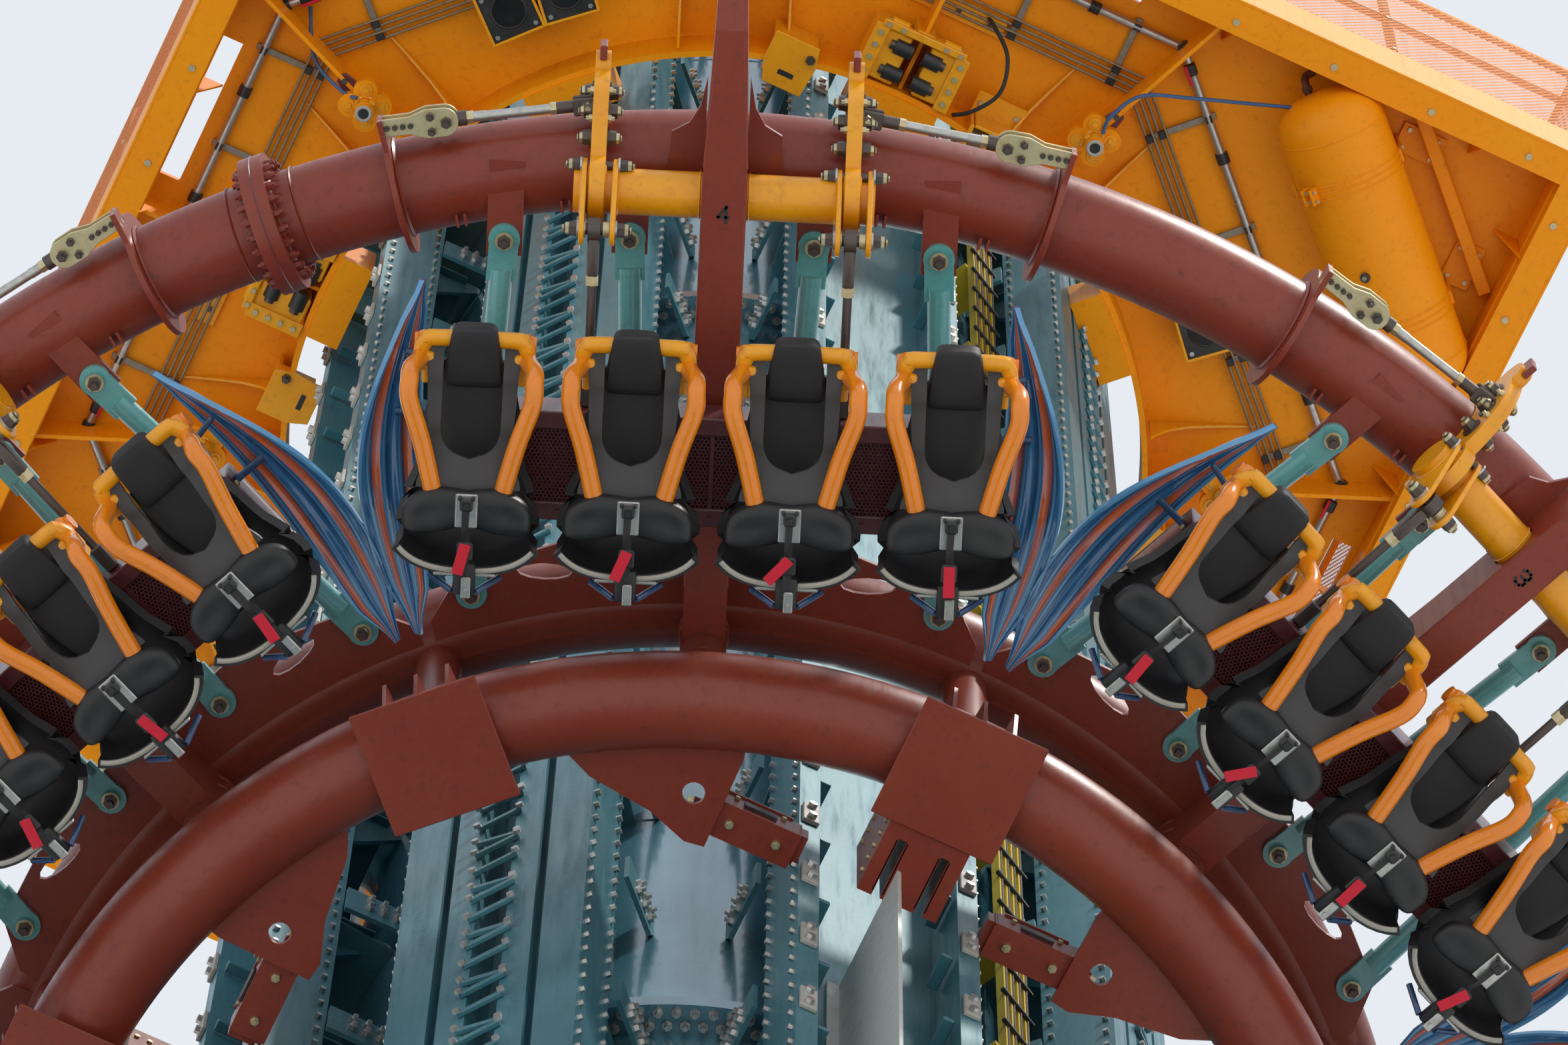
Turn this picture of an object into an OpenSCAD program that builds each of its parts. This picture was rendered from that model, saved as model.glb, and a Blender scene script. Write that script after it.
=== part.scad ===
// Drop tower ride: a round gondola of eight seat rows that tilt face down,
// a square catch car above it, and the steel tower that both slide on.
// Millimetres, +Z up, origin on the ground at the tower's axis.
// The front row faces -Y, and azimuths count from there towards +X.

/* [Tower] */
// Number of tower bays between bolted flanges
bays = 3; // [2:1:3]
// Height of one tower bay
bay_h = 9800; // [9000:100:9800]
// Outer radius of the tower shaft
shaft_r = 1500; // [1400:10:1560]
// Wall of the tower shaft
shaft_wall = 30; // [16:1:60]
// How far the bolted flanges stand out of the shaft
shaft_flange_out = 120; // [80:5:150]
// Thickness of one bolted flange
shaft_flange_t = 45; // [30:1:60]
// Radius of the rail columns' outer faces
rail_face_r = 2020; // [1980:5:2060]
// Width of a rail column
rail_w = 780; // [700:10:800]
// Depth of a rail column
rail_depth = 300; // [240:10:330]
// Wall of the rail columns
rail_wall = 16; // [10:1:24]
// Vertical pitch of the brackets between columns and shaft
bracket_pitch = 1400; // [1000:50:2000]
// Radius of the base plate
base_r = 3400; // [3300:10:3600]
// Thickness of the base plate
base_t = 60; // [40:5:100]
// Number of anchor bolts
anchor_count = 16; // [12:4:24]
// Diameter of the anchor bolt circle
anchor_circle_d = 6200; // [6000:10:6400]
// Diameter of an anchor bolt hole
anchor_hole_d = 60; // [40:2:80]

/* [Gondola] */
// Height of the gondola's outer ring over the ground at rest
ring_z = 11300; // [10000:50:12000]
// Radius of the outer ring's centre line
ring_r = 4600; // [4500:10:4700]
// Radius of the outer ring's tube
tube_r = 190; // [160:5:200]
// Radius of the inner ring's centre line
inner_ring_r = 2780; // [2700:10:2850]
// Radius of the lower ring's centre line
lower_ring_r = 2660; // [2600:10:2720]
// How far the lower ring hangs under the outer ring
lower_drop = 885; // [800:5:1000]
// Radius of the stub tubes between the inner and lower rings
stub_r = 92; // [60:2:110]
// Width of a radial arm
arm_w = 170; // [140:2:200]
// Width of a radial arm at its tip
arm_tip_w = 100; // [80:2:140]
// Reach of a radial arm from the tower's axis
arm_reach = 5550; // [5300:10:5800]
// Depth of a radial arm
arm_depth = 310; // [280:5:340]
// Azimuth of the ring collars from the middle of a row, in degrees
collar_az = 16; // [14:0.5:17]
// Radius of a ring collar
collar_r = 262; // [240:2:290]
// Diameter of the struts
strut_d = 92; // [70:2:110]

/* [Rows] */
// Spacing of the seats in a row
seat_pitch = 620; // [600:5:640]
// Diameter of a row's tilt shaft
tilt_shaft_d = 180; // [140:5:190]
// Running gap between a tilt shaft and its brackets
tilt_gap = 0.5; // [0.3:0.1:1]
// Distance of a tilt shaft under the outer ring's centre
tilt_drop = 360; // [350:5:375]
// Distance of a tilt shaft from the tower's axis
tilt_r = 4550; // [4540:5:4560]
// Distance of the two levers of a row from its middle
lever_t = 495; // [470:5:520]
// Length of a row's box beam
beam_l = 2200; // [2100:10:2210]
// Height of a row's box beam, measured along the seat backs
beam_h = 440; // [380:10:480]
// Depth of a row's box beam
beam_depth = 190; // [120:5:200]
// Width of a seat
seat_w = 540; // [480:5:560]
// Height of a seat back
back_h = 800; // [740:10:840]
// Length of a seat pan
pan_l = 430; // [380:10:470]
// Diameter of a restraint tube
restraint_d = 68; // [50:2:76]
// Length of a side fin
fin_l = 1290; // [1100:10:1300]
// Widest part of a side fin
fin_w = 230; // [180:10:240]
// Thickness of a side fin
fin_t = 24; // [16:1:36]

/* [Catch car] */
// Height of the catch car's lower edge over the gondola's outer ring
car_lift = 10600; // [9500:50:10900]
// Half the side of the square catch car
car_half = 3415; // [3350:5:3500]
// Width of the catch car's edge beams
car_beam_w = 180; // [150:5:200]
// Depth of the catch car's edge beams
car_beam_h = 420; // [300:10:460]
// Radius of the catch car's opening round the tower
car_open_r = 2200; // [2180:5:2260]
// Height of the catch car's mesh skirt
skirt_h = 1470; // [1000:10:1700]
// Diameter of an air tank
tank_d = 480; // [400:10:500]
// Length of an air tank
tank_l = 1500; // [1200:10:1600]
// Width of the slots in the catch car's deck beside its edge beams
car_slot_w = 110; // [60:5:130]
// Azimuth of one side of the catch car, in degrees
car_az = 22.5; // [22.5:0.5:22.5]

/* [Brakes] */
// Thickness of a brake fin
brake_fin_t = 16; // [10:1:20]
// Gap between a brake shoe and its fin
shoe_gap = 10; // [6:1:12]
// Offset of a brake fin from the middle of its column
brake_fin_offset = 90; // [80:1:110]

/* [Hidden] */
$fn = 64;
rows = 8;
seats_per_row = 4;
row_pitch = 360 / rows;
seam = 0.3;
row_numbers = [for (i = [1 : rows]) i];
row_nodes = ["row_frame_", "seats_", "restraints_", "fins_"];

shaft_top = base_t + bays * bay_h;
flange_out_r = shaft_r + shaft_flange_out;
rail_half = rail_w / 2;
rail_back_r = rail_face_r - rail_depth;
car_z = ring_z + car_lift;
arm_top = -tube_r - seam;
arm_bottom = arm_top - arm_depth;
plate_z = -185;
plate_t = 25;
eye_t = 25;
strut_tail = 120;
// Sideways place and radius of the two strut heads and feet on each side of an arm
strut_heads = [[850, ring_r - 310], [360, ring_r - 280]];
strut_feet = [[925, inner_ring_r + 50], [300, inner_ring_r + 210]];
web_gap = 0.9;
base_rib_az = 5;
lever_t_out = 100;
lever_plate_t = 20;
crescent_t = 60;
crescent_gap = 5;
run_gap = 0.5;
shaft_clear = 8;
fin_back_wall = 40;
tank_z = 90;
tank_axis_r = (car_half - car_beam_w - 18 - tank_d / 2) * sqrt(2) - (tank_l - tank_d) / 2;

function row_az(i) = (4 - i) * row_pitch;
function arc(r, from, to, step = 10) = [for (a = [from : step : to]) r * [cos(a), sin(a)]];
function oval(cx, cy, a, b) = [for (i = [0 : 11]) [cx + a * cos(30 * i), cy + b * sin(30 * i)]];

// Turns a child about the tower to an azimuth
module at(az) rotate([0, 0, az]) children();

// Stands a flat shape of radius and height upright in the radial plane
module radial_plate(t) rotate([90, 0, -90]) linear_extrude(t, center = true) children();

module ring_tube(r, tube) rotate_extrude($fn = 96) translate([r, 0]) circle(tube);

// Puts a child, drawn for a row that hangs upright, into its face-down place
module row_place(i)
    at(row_az(i)) translate([0, -tilt_r, ring_z - tilt_drop]) rotate([90, 0, 0]) children();

// Tower

module base() color("slategray") {
    difference() {
        union() {
            cylinder(h = base_t, r = base_r, $fn = 96);
            for (k = [0 : rows - 1]) for (s = [-1, 1]) at(row_pitch * k + s * base_rib_az) base_rib();
        }
        for (i = [0 : anchor_count - 1])
            at((i + 0.5) * 360 / anchor_count) translate([0, -anchor_circle_d / 2, -1])
                cylinder(h = base_t + 2, d = anchor_hole_d);
    }
}

module base_rib() translate([0, 0, base_t]) radial_plate(40)
    polygon([[shaft_r + seam, -1], [base_r - 120, -1], [base_r - 120, 60], [shaft_r + 110, 620],
        [shaft_r + seam, 620]]);

module tower_shaft() color([0.20, 0.42, 0.50]) {
    out = shaft_r;
    in = shaft_r - shaft_wall;
    rotate_extrude($fn = 96) {
        translate([in, base_t]) square([shaft_wall, bays * bay_h]);
        for (k = [1 : bays]) translate([out - 1, base_t + k * bay_h - shaft_flange_t])
            square([shaft_flange_out + 1, k == bays ? shaft_flange_t : 2 * shaft_flange_t]);
    }
}

// Plan of a column whose face carries two guide slots and a stepped channel
module step_column_2d() difference() {
    translate([-rail_half, -rail_face_r]) square([rail_w, rail_depth]);
    for (s = [-1, 1]) {
        translate([s * 200 - 20, -rail_face_r - 1]) square([40, 71]);
        translate([s * 130 - 40, -rail_face_r + 90]) square([80, rail_depth - 90 - rail_wall]);
        translate([s * 305 - 68, -rail_face_r + rail_wall]) square([136, rail_depth - 2 * rail_wall]);
    }
    translate([-65, -rail_face_r - 1]) square([130, 201]);
}

// Plan of an open column that holds a brake fin
module fin_column_2d() difference() {
    translate([-rail_half, -rail_face_r]) square([rail_w, rail_depth]);
    translate([-rail_half + 90, -rail_face_r - 1]) square([rail_w - 180, rail_depth - fin_back_wall + 1]);
    for (s = [-1, 1]) translate([s * (rail_half - 45) - 29, -rail_face_r + rail_wall])
        square([58, rail_depth - 2 * rail_wall]);
}

module rail_bracket_2d() difference() {
    polygon([[-rail_half + 20, -rail_back_r - 1], [rail_half - 20, -rail_back_r - 1],
        [rail_half - 60, -shaft_r + 170], [-rail_half + 60, -shaft_r + 170]]);
    circle(shaft_r + seam, $fn = 96);
}

module rail_column(with_fin) {
    translate([0, 0, base_t]) linear_extrude(bays * bay_h) {
        if (with_fin) fin_column_2d();
        else step_column_2d();
    }
    for (z = [base_t + 1000 : 2 * bracket_pitch : shaft_top - 400])
        translate([0, 0, z]) linear_extrude(plate_t) rail_bracket_2d();
}

module guide_rails() color([0.24, 0.48, 0.55])
    for (k = [0 : 7]) at((k + 0.5) * row_pitch) rail_column(k % 2 == 0);

module brake_fins() color([0.78, 0.80, 0.78])
    for (k = [0 : 3]) at(car_az + 90 * k) {
        back = rail_face_r - rail_depth + fin_back_wall + seam;
        translate([-brake_fin_offset - brake_fin_t / 2, -rail_face_r - 280, base_t + 940])
            cube([brake_fin_t, rail_face_r + 280 - back - 12, ring_z - 1350 - base_t - 940]);
        translate([-brake_fin_offset - 60, -back - 14, base_t + 940])
            cube([120, 14, ring_z - 1350 - base_t - 940]);
    }

module conductor_bars() color([0.90, 0.78, 0.20])
    at(50) {
        inner = shaft_r + 195;
        for (k = [-1.5 : 1.5]) translate([k * 46 - 13, -inner - 40, base_t + 700])
            cube([26, 40, bays * bay_h - 1400]);
        for (z = [base_t + 900 : bracket_pitch : shaft_top - 900]) translate([0, 0, z]) difference() {
            translate([-100, -inner, 0]) cube([200, 230, 30]);
            translate([0, 0, -1]) cylinder(h = 32, r = shaft_r + seam, $fn = 96);
        }
    }

module tower_head() color([0.20, 0.42, 0.50]) translate([0, 0, shaft_top + seam]) {
    cylinder(h = 90, r = flange_out_r + 60, $fn = 96);
    translate([0, 0, 89]) cylinder(h = 700, r1 = shaft_r - 60, r2 = shaft_r - 320, $fn = 96);
    translate([0, 0, 788]) cylinder(h = 60, r = shaft_r - 200, $fn = 96);
}

// Catch car

module car_square(half) at(car_az) square(2 * half, center = true);

module car_deck() color([0.93, 0.60, 0.12]) translate([0, 0, car_z]) difference() {
    union() {
        linear_extrude(car_beam_h) difference() {
            car_square(car_half);
            car_square(car_half - car_beam_w);
        }
        translate([0, 0, car_beam_h - 40]) linear_extrude(40) difference() {
            car_square(car_half - 1);
            circle(car_open_r, $fn = 96);
            for (k = [0 : 3]) for (s = [0, 1]) at(car_az + 90 * k) mirror([s, 0, 0])
                translate([150, -car_half + car_beam_w + 30]) square([800, car_slot_w]);
        }
        translate([0, 0, 60]) linear_extrude(car_beam_h - 60) difference() {
            circle(car_open_r + 30, $fn = 96);
            circle(car_open_r, $fn = 96);
        }
        for (k = [0 : 15]) if (k % 4 != 3)
            at(22.5 * k) translate([-10, -car_half - (k % 4 == 1 ? -20 : 160), 120])
                cube([20, car_half - car_open_r + (k % 4 == 1 ? -30 : 150), car_beam_h - 121]);
    }
}

module car_skirt() color([0.90, 0.62, 0.30]) translate([0, 0, car_z + car_beam_h]) linear_extrude(skirt_h)
    difference() {
        car_square(car_half);
        car_square(car_half - 40);
    }

module tank() {
    rotate([0, 90, 0]) rotate_extrude() intersection() {
        union() {
            square([tank_d / 2, tank_l - tank_d], center = false);
            circle(tank_d / 2 + 0.5);
            translate([0, tank_l - tank_d]) circle(tank_d / 2 + 0.5);
        }
        translate([0, -tank_d]) square([tank_d, tank_l + 2 * tank_d]);
    }
}

module air_tanks() color([0.95, 0.62, 0.10])
    for (k = [0 : 3]) at(car_az + 45 + 90 * k) translate([0, -tank_axis_r, car_z + tank_z]) {
        translate([-(tank_l - tank_d) / 2, 0, 0]) tank();
        for (s = [-1, 1]) translate([s * tank_l / 4, 0, 0]) difference() {
            translate([-30, -150, 0]) cube([60, 300, car_beam_h - 40 - tank_z - seam]);
            rotate([0, 90, 0]) cylinder(h = 62, d = tank_d - 20, center = true);
        }
    }
module car_couplers() color([0.93, 0.60, 0.12])
    for (k = [0 : 7]) at(row_pitch * k) translate([0, -2620, car_z]) {
        translate([0, 0, 60]) linear_extrude(60 - seam) for (a = [0 : 90 : 270])
            rotate(a + 45) translate([75, 0]) circle(62);
        translate([0, 0, 61]) cylinder(h = 50, r = 70);
        translate([0, 0, -90]) cylinder(h = 160, r = 42);
    }

module car_guides() color([0.90, 0.55, 0.10])
    for (k = [0 : 7]) at((k + 0.5) * row_pitch) translate([0, 0, car_z + 40]) linear_extrude(330)
        intersection() {
            translate([-230, -car_open_r]) square([460, car_open_r - rail_face_r - run_gap]);
            circle(car_open_r - seam, $fn = 360);
        }

module floodlights() color([0.08, 0.08, 0.09])
    for (k = [0 : 3]) for (s = [-1, 1]) at(-car_az + 90 * k + 3.3 * s)
        translate([-130, -2760, car_z + 120]) cube([260, 260, car_beam_h - 160 - seam]);

// Gondola

module upper_ring() color([0.47, 0.17, 0.14]) translate([0, 0, ring_z]) {
    ring_tube(ring_r, tube_r);
    for (k = [0 : rows - 1]) at(row_pitch * k) {
        for (s = [-1, 1]) {
            at(s * collar_az) radial_plate(22) ring_collar_2d();
            for (p = strut_heads) strut_lug(s * p[0], p[1], ring_r);
        }
    }
    for (k = [0 : 3]) at(-row_pitch / 2 + 90 * k) radial_plate(96)
        translate([ring_r, 0]) circle(tube_r + 90);
}

module ring_collar_2d() {
    translate([ring_r, 0]) circle(collar_r);
    translate([ring_r, -175]) square([collar_r + 60, 110]);
}

module strut_lug(t, r, r_end) translate([t - 70, -r_end, plate_z]) cube([140, r_end - r + 70, plate_t]);

module arm() intersection() {
    radial_plate(arm_w) difference() {
        polygon([[inner_ring_r - 40, arm_bottom], [arm_reach - 300, arm_bottom], [arm_reach, -430],
            [arm_reach, -330], [arm_reach - 300, arm_top], [4150, arm_top], [3250, -90],
            [inner_ring_r - 40, -60]]);
        translate([tilt_r, -tilt_drop]) circle(d = tilt_shaft_d + 2 * shaft_clear);
    }
    translate([0, 0, arm_bottom - 1]) linear_extrude(-arm_bottom)
        polygon([[-arm_w / 2, 0], [-arm_w / 2, -4700], [-arm_tip_w / 2, -arm_reach],
            [arm_tip_w / 2, -arm_reach], [arm_w / 2, -4700], [arm_w / 2, 0]]);
}

module arm_gusset() translate([0, 0, arm_top - 22]) linear_extrude(22)
    for (s = [-1, 1]) polygon([for (p = [[arm_w / 2 - 2, -4990], [arm_w / 2 + 22, -4870],
        [arm_w / 2 + 62, -4800], [arm_w / 2 + 130, -4760], [arm_w / 2 + 140, -4600],
        [arm_w / 2 - 2, -4560]]) [s * p[0], p[1]]]);

// Flat plate outside the inner ring that takes the lower ends of the struts
module knee_plate() translate([0, 0, plate_z]) linear_extrude(plate_t) difference() {
    for (s = [0, 1]) mirror([s, 0, 0]) polygon([[-1, -inner_ring_r + 380], [-1000, -inner_ring_r + 380],
        [-1080, -inner_ring_r + 80], [-980, -inner_ring_r - 120], [-480, -inner_ring_r - 310],
        [1, -inner_ring_r - 310]]);
    circle(inner_ring_r - 60, $fn = 96);
    for (s = [-1, 1]) polygon(oval(s * 640, -inner_ring_r - 150, 110, 34));
}

module stub(az) at(az) translate([0, -(inner_ring_r + lower_ring_r) / 2, -lower_drop])
    cylinder(h = lower_drop, r = stub_r);

module spider_frame() color([0.45, 0.16, 0.13]) translate([0, 0, ring_z]) difference() {
    union() {
        ring_tube(inner_ring_r, tube_r);
        for (k = [0 : rows - 1]) at(row_pitch * k) {
            arm();
            arm_gusset();
            knee_plate();
            stub(0);
            stub(row_pitch / 2);
        }
    }
    translate([0, 0, -lower_drop]) ring_tube(lower_ring_r, tube_r + seam);
}

// Plan of a guide gusset inside the lower ring, beside one brake column
module guide_gusset_2d() difference() {
    rotate(-row_pitch / 2) polygon([[-650, -2560], [-420, -2330], [-180, -2200], [-40, -2080],
        [40, -2060], [180, -2430], [200, -2600]]);
    rotate(-row_pitch / 2) translate([-10, -2280]) circle(45);
}

module lower_ring() color([0.45, 0.16, 0.13]) translate([0, 0, ring_z - lower_drop]) {
    ring_tube(lower_ring_r, tube_r);
    for (k = [0 : 3]) at(car_az + 90 * k) for (s = [0, 1]) mirror([s, 0, 0]) {
        translate([0, 0, -12]) linear_extrude(24) guide_gusset_2d();
        guide_shoe();
    }
}

// Sprung shoe that runs on the side of a brake column
module guide_shoe() {
    tip = rail_half + run_gap;
    translate([-rail_half - 390, -2115, 11]) cube([390 - 30, 150, 130]);
    translate([-tip - 30, -2110, 30]) cube([30, 130, 90]);
}

module brake_box_web(t) translate([t, 0, 0]) radial_plate(16) difference() {
    polygon([[lower_ring_r - 230, -1092], [lower_ring_r + 215, -1092], [lower_ring_r + 250, -820],
        [lower_ring_r + 120, -760], [lower_ring_r - 190, -960]]);
    translate([sqrt(lower_ring_r * lower_ring_r - t * t), -lower_drop]) circle(tube_r + web_gap);
}

// Plan of two shoes that straddle brake fins
module shoe_comb_2d() {
    slot = brake_fin_t + 2 * shoe_gap;
    difference() {
        translate([-170, -lower_ring_r + 216]) square([340, lower_ring_r - 216 - 2085]);
        for (s = [-1, 1]) translate([s * brake_fin_offset - slot / 2, -2340]) square([slot, 300]);
    }
}

module brake_shoes() color([0.50, 0.20, 0.16]) translate([0, 0, ring_z])
    for (k = [0 : 7]) at((k + 0.5) * row_pitch) {
        translate([-200, -lower_ring_r - 220, -1106]) cube([400, 460, 15]);
        for (t = [-130, 0, 130]) brake_box_web(t);
        if (k % 2 == 0) translate([0, 0, -1100]) linear_extrude(480) shoe_comb_2d();
    }

// Round strut with flat eyes that are bolted under two plates
module strut(from, to) {
    dx = to - from;
    l = norm(dx);
    translate([from[0], from[1], plate_z - eye_t / 2 - seam]) rotate([0, 0, atan2(dx[1], dx[0])]) {
        translate([strut_tail, 0, 0]) rotate([0, 90, 0]) cylinder(h = l - 2 * strut_tail, d = strut_d);
        for (x = [0, l]) {
            translate([x, 0, -eye_t / 2]) cylinder(h = eye_t, r = 62);
            translate([x, 0, -eye_t / 2 - 22]) cylinder(h = 24, r = 26, $fn = 6);
        }
        for (x = [0, l - strut_tail - 50]) translate([x, -58, -eye_t / 2 + 0.5])
            cube([strut_tail + 50, 116, eye_t - 1]);
    }
}

module struts() color([0.20, 0.50, 0.50]) translate([0, 0, ring_z])
    for (k = [0 : rows - 1]) at(row_pitch * k) for (s = [-1, 1]) {
        for (i = [0, 1])
            strut([s * strut_heads[i][0], -strut_heads[i][1]], [s * strut_feet[i][0], -strut_feet[i][1]]);
    }

// Outline of the hooked bracket that carries a tilt shaft under the outer ring
module crescent_2d() difference() {
    union() {
        translate([tilt_r, -tilt_drop]) circle(tilt_shaft_d / 2 + 45);
        translate([ring_r, 0]) intersection() {
            circle(tube_r + 165);
            polygon(concat([[0, 0]], arc(700, -118, 12)));
        }
        translate([ring_r + tube_r + 165, 10]) circle(58);
    }
    translate([sqrt(ring_r * ring_r - lever_t * lever_t), 0]) circle(tube_r + crescent_gap);
    translate([tilt_r, -tilt_drop]) circle(tilt_shaft_d / 2 + tilt_gap);
    for (a = [-62, -38, -14]) rotate_at([ring_r, 0], a) translate([tube_r + 85, 0]) circle(34);
}

module rotate_at(c, a) translate(c) rotate(a) children();

// Rod from a crescent's outer side to the ear of the next collar
module tie_rod() {
    a = [lever_t + crescent_t / 2, -ring_r - 230, -120];
    b = [sin(collar_az) * (ring_r + 290) - 11, -cos(collar_az) * (ring_r + 290), -120];
    d = b - a;
    translate(a) rotate([0, 90, atan2(d[1], d[0])]) cylinder(h = norm(d) - 8, r = 16);
}

module tilt_brackets() color([0.95, 0.62, 0.10]) translate([0, 0, ring_z])
    for (k = [0 : rows - 1]) at(row_pitch * k) for (s = [0, 1]) mirror([s, 0, 0]) {
        translate([lever_t, 0, 0]) radial_plate(crescent_t) crescent_2d();
        tie_rod();
    }

// Rows, drawn upright with the tilt shaft's axis at the origin

// Round rod from one point to another
module rod(a, b, d) {
    v = b - a;
    translate(a) rotate([0, acos(v[2] / norm(v)), atan2(v[1], v[0])])
        cylinder(h = norm(v), d = d, $fn = 32);
}

beam_y = -190;
beam_z = -1230;
restraint_y = -420;
restraint_z = -505;
restraint_t = 218;
hinge_d = 40;

module row_frame(i) color([0.40, 0.12, 0.14]) row_place(i) {
    translate([-lever_t - lever_t_out / 2 - 40, 0, 0]) rotate([0, 90, 0])
        cylinder(h = 2 * lever_t + lever_t_out + 80, d = tilt_shaft_d);
    for (s = [-1, 1]) translate([s * lever_t, 0, 0]) {
        for (q = [-1, 1]) translate([q * (lever_t_out / 2 + lever_plate_t / 2), 0, 0]) lever_plate();
        rotate([0, 90, 0]) translate([90, -240, 0]) cylinder(h = lever_t_out + 70, r = 22, center = true);
        push_rod();
    }
    row_beam();
}

module lever_plate() rotate([90, 0, 90]) linear_extrude(lever_plate_t, center = true) {
    circle(tilt_shaft_d / 2 + 34);
    polygon([[-240, -150], [-280, -80], [-260, -30], [-90, 85], [60, -100], [-180, -150]]);
    translate([-240, -90]) circle(55);
}

module push_rod() rod([0, -240, -90], [0, beam_y - 95, beam_z + beam_h + 1], 40);

module row_beam() {
    translate([-beam_l / 2, beam_y - beam_depth, beam_z]) difference() {
        cube([beam_l, beam_depth, beam_h]);
        translate([12, -1, 70]) cube([beam_l - 24, beam_depth - 20, beam_h - 140]);
    }
    for (x = [-lever_t, 0, lever_t]) translate([x - 10, beam_y - beam_depth + 1, beam_z + 10])
        cube([20, beam_depth - 2, beam_h - 20]);
}

// Side view of a seat shell, back to the right
module seat_side_2d(t) {
    y0 = beam_y - beam_depth - seam;
    pan_z = -440 - back_h - 55;
    polygon([[y0, -440 - back_h], [y0, -550], [y0 - t, -550], [y0 - t - 12, -900],
        [y0 - t - 30, -1140], [y0 - t - 90, pan_z + 55], [y0 - pan_l + 90, pan_z], [y0 - pan_l, pan_z + 5],
        [y0 - pan_l, pan_z - 35], [y0 - pan_l + 90, pan_z - 50], [y0 - 120, pan_z - 5]]);
}

module seat() {
    y0 = beam_y - beam_depth - seam;
    rotate([90, 0, 90]) linear_extrude(seat_w - 60, center = true) seat_side_2d(70);
    for (s = [-1, 1]) translate([s * (seat_w / 2 - 22), 0, 0]) rotate([90, 0, 90])
        linear_extrude(44, center = true) polygon([[y0 - 1, -440 - back_h], [y0 - 1, -660], [y0 - 60, -700],
            [y0 - 120, -960], [y0 - 170, -1100], [y0 - 260, -1165], [y0 - pan_l, -1150],
            [y0 - pan_l - 10, -1230], [y0 - pan_l + 20, -1290], [y0 - 150, -1320]]);
    translate([-120, y0 - 105, -720]) cube([240, 104, 270]);
    translate([-182, y0 - 175, -470]) cube([364, 56, 60]);
    difference() {
        for (s = [-1, 1]) translate([s * 156 - 22, y0 - 174, -600]) cube([44, 173, 160]);
        hinge_bar(200, hinge_d + 2 * run_gap);
    }
}

// Round bar on a restraint's hinge line
module hinge_bar(half, d) rod([-half, restraint_y, restraint_z], [half, restraint_y, restraint_z], d);

module seats(i) color([0.10, 0.10, 0.11]) row_place(i)
    for (k = [-1.5 : 1.5]) translate([k * seat_pitch, 0, 0]) seat();

module restraint() {
    for (s = [-1, 1]) {
        shoulder = [s * restraint_t, restraint_y, restraint_z];
        elbow = [s * restraint_t, restraint_y - 340, restraint_z - 60];
        rod(shoulder, elbow, restraint_d);
        rod([s * (restraint_t + 36), restraint_y, restraint_z], [s * (restraint_t - 36), restraint_y, restraint_z], 74);
        rod(shoulder, [s * 138, restraint_y, restraint_z], hinge_d);
        translate(elbow) sphere(restraint_d / 2 + 2, $fn = 32);
        rod(elbow, [s * 150, restraint_y - 345, restraint_z - 510], restraint_d);
    }
    translate([0, restraint_y - 345, restraint_z - 545]) rotate([90, 0, 0]) linear_extrude(100, center = true) {
        for (s = [-1, 1]) translate([s * 145, 0]) circle(76);
        translate([-145, -62]) square([290, 130]);
    }
}

module restraints(i) color([0.95, 0.50, 0.08]) row_place(i)
    for (k = [-1.5 : 1.5]) translate([k * seat_pitch, 0, 0]) restraint();

// Twisted blade beside a row: a loft of narrow oblong sections from head to foot
fin_steps = 12;
function fin_s(i) = i / fin_steps;
function fin_width(s) = fin_w * (0.18 + 0.82 * pow(sin(180 * min(1, max(0, 0.08 + 0.84 * s))), 0.8));
function fin_turn(s) = 68 - 92 * s;
function fin_point(s, u, v) = [
    1150 + 110 * sin(180 * s) - 40 * s * s + u * cos(fin_turn(s)) - v * sin(fin_turn(s)),
    -250 - u * sin(fin_turn(s)) - v * cos(fin_turn(s)) - 40 * s,
    -320 - fin_l * s
];
function fin_section(s) = [for (c = [[-1, -1], [1, -1], [1, 1], [-1, 1]])
    fin_point(s, c[0] * fin_width(s) / 2, c[1] * fin_t / 2)];

module fin_blade() polyhedron(
    points = [for (i = [0 : fin_steps]) each fin_section(fin_s(i))],
    faces = concat(
        [[0, 1, 2, 3]],
        [for (i = [0 : fin_steps - 1]) for (j = [0 : 3]) [4 * i + j, 4 * i + 4 + j, 4 * i + (j + 1) % 4]],
        [for (i = [0 : fin_steps - 1]) for (j = [0 : 3])
            [4 * i + (j + 1) % 4, 4 * i + 4 + j, 4 * i + 4 + (j + 1) % 4]],
        [[for (j = [3 : -1 : 0]) 4 * fin_steps + j]]
    )
);

module fins(i) color([0.10, 0.28, 0.50]) row_place(i)
    for (s = [0, 1]) mirror([s, 0, 0]) {
        fin_blade();
        translate([beam_l / 2 + seam, -270, -850]) rotate([0, 90, 0]) cylinder(h = 150, r = 16, $fn = 8);
    }

base();
tower_shaft();
guide_rails();
brake_fins();
conductor_bars();
tower_head();
car_deck();
car_skirt();
air_tanks();
car_couplers();
car_guides();
floodlights();
upper_ring();
spider_frame();
lower_ring();
brake_shoes();
struts();
tilt_brackets();
for (i = row_numbers) {
    row_frame(i);
    seats(i);
    restraints(i);
    fins(i);
}
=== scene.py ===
import bpy
import bmesh
import math
import random
from mathutils import Matrix, Vector


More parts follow.
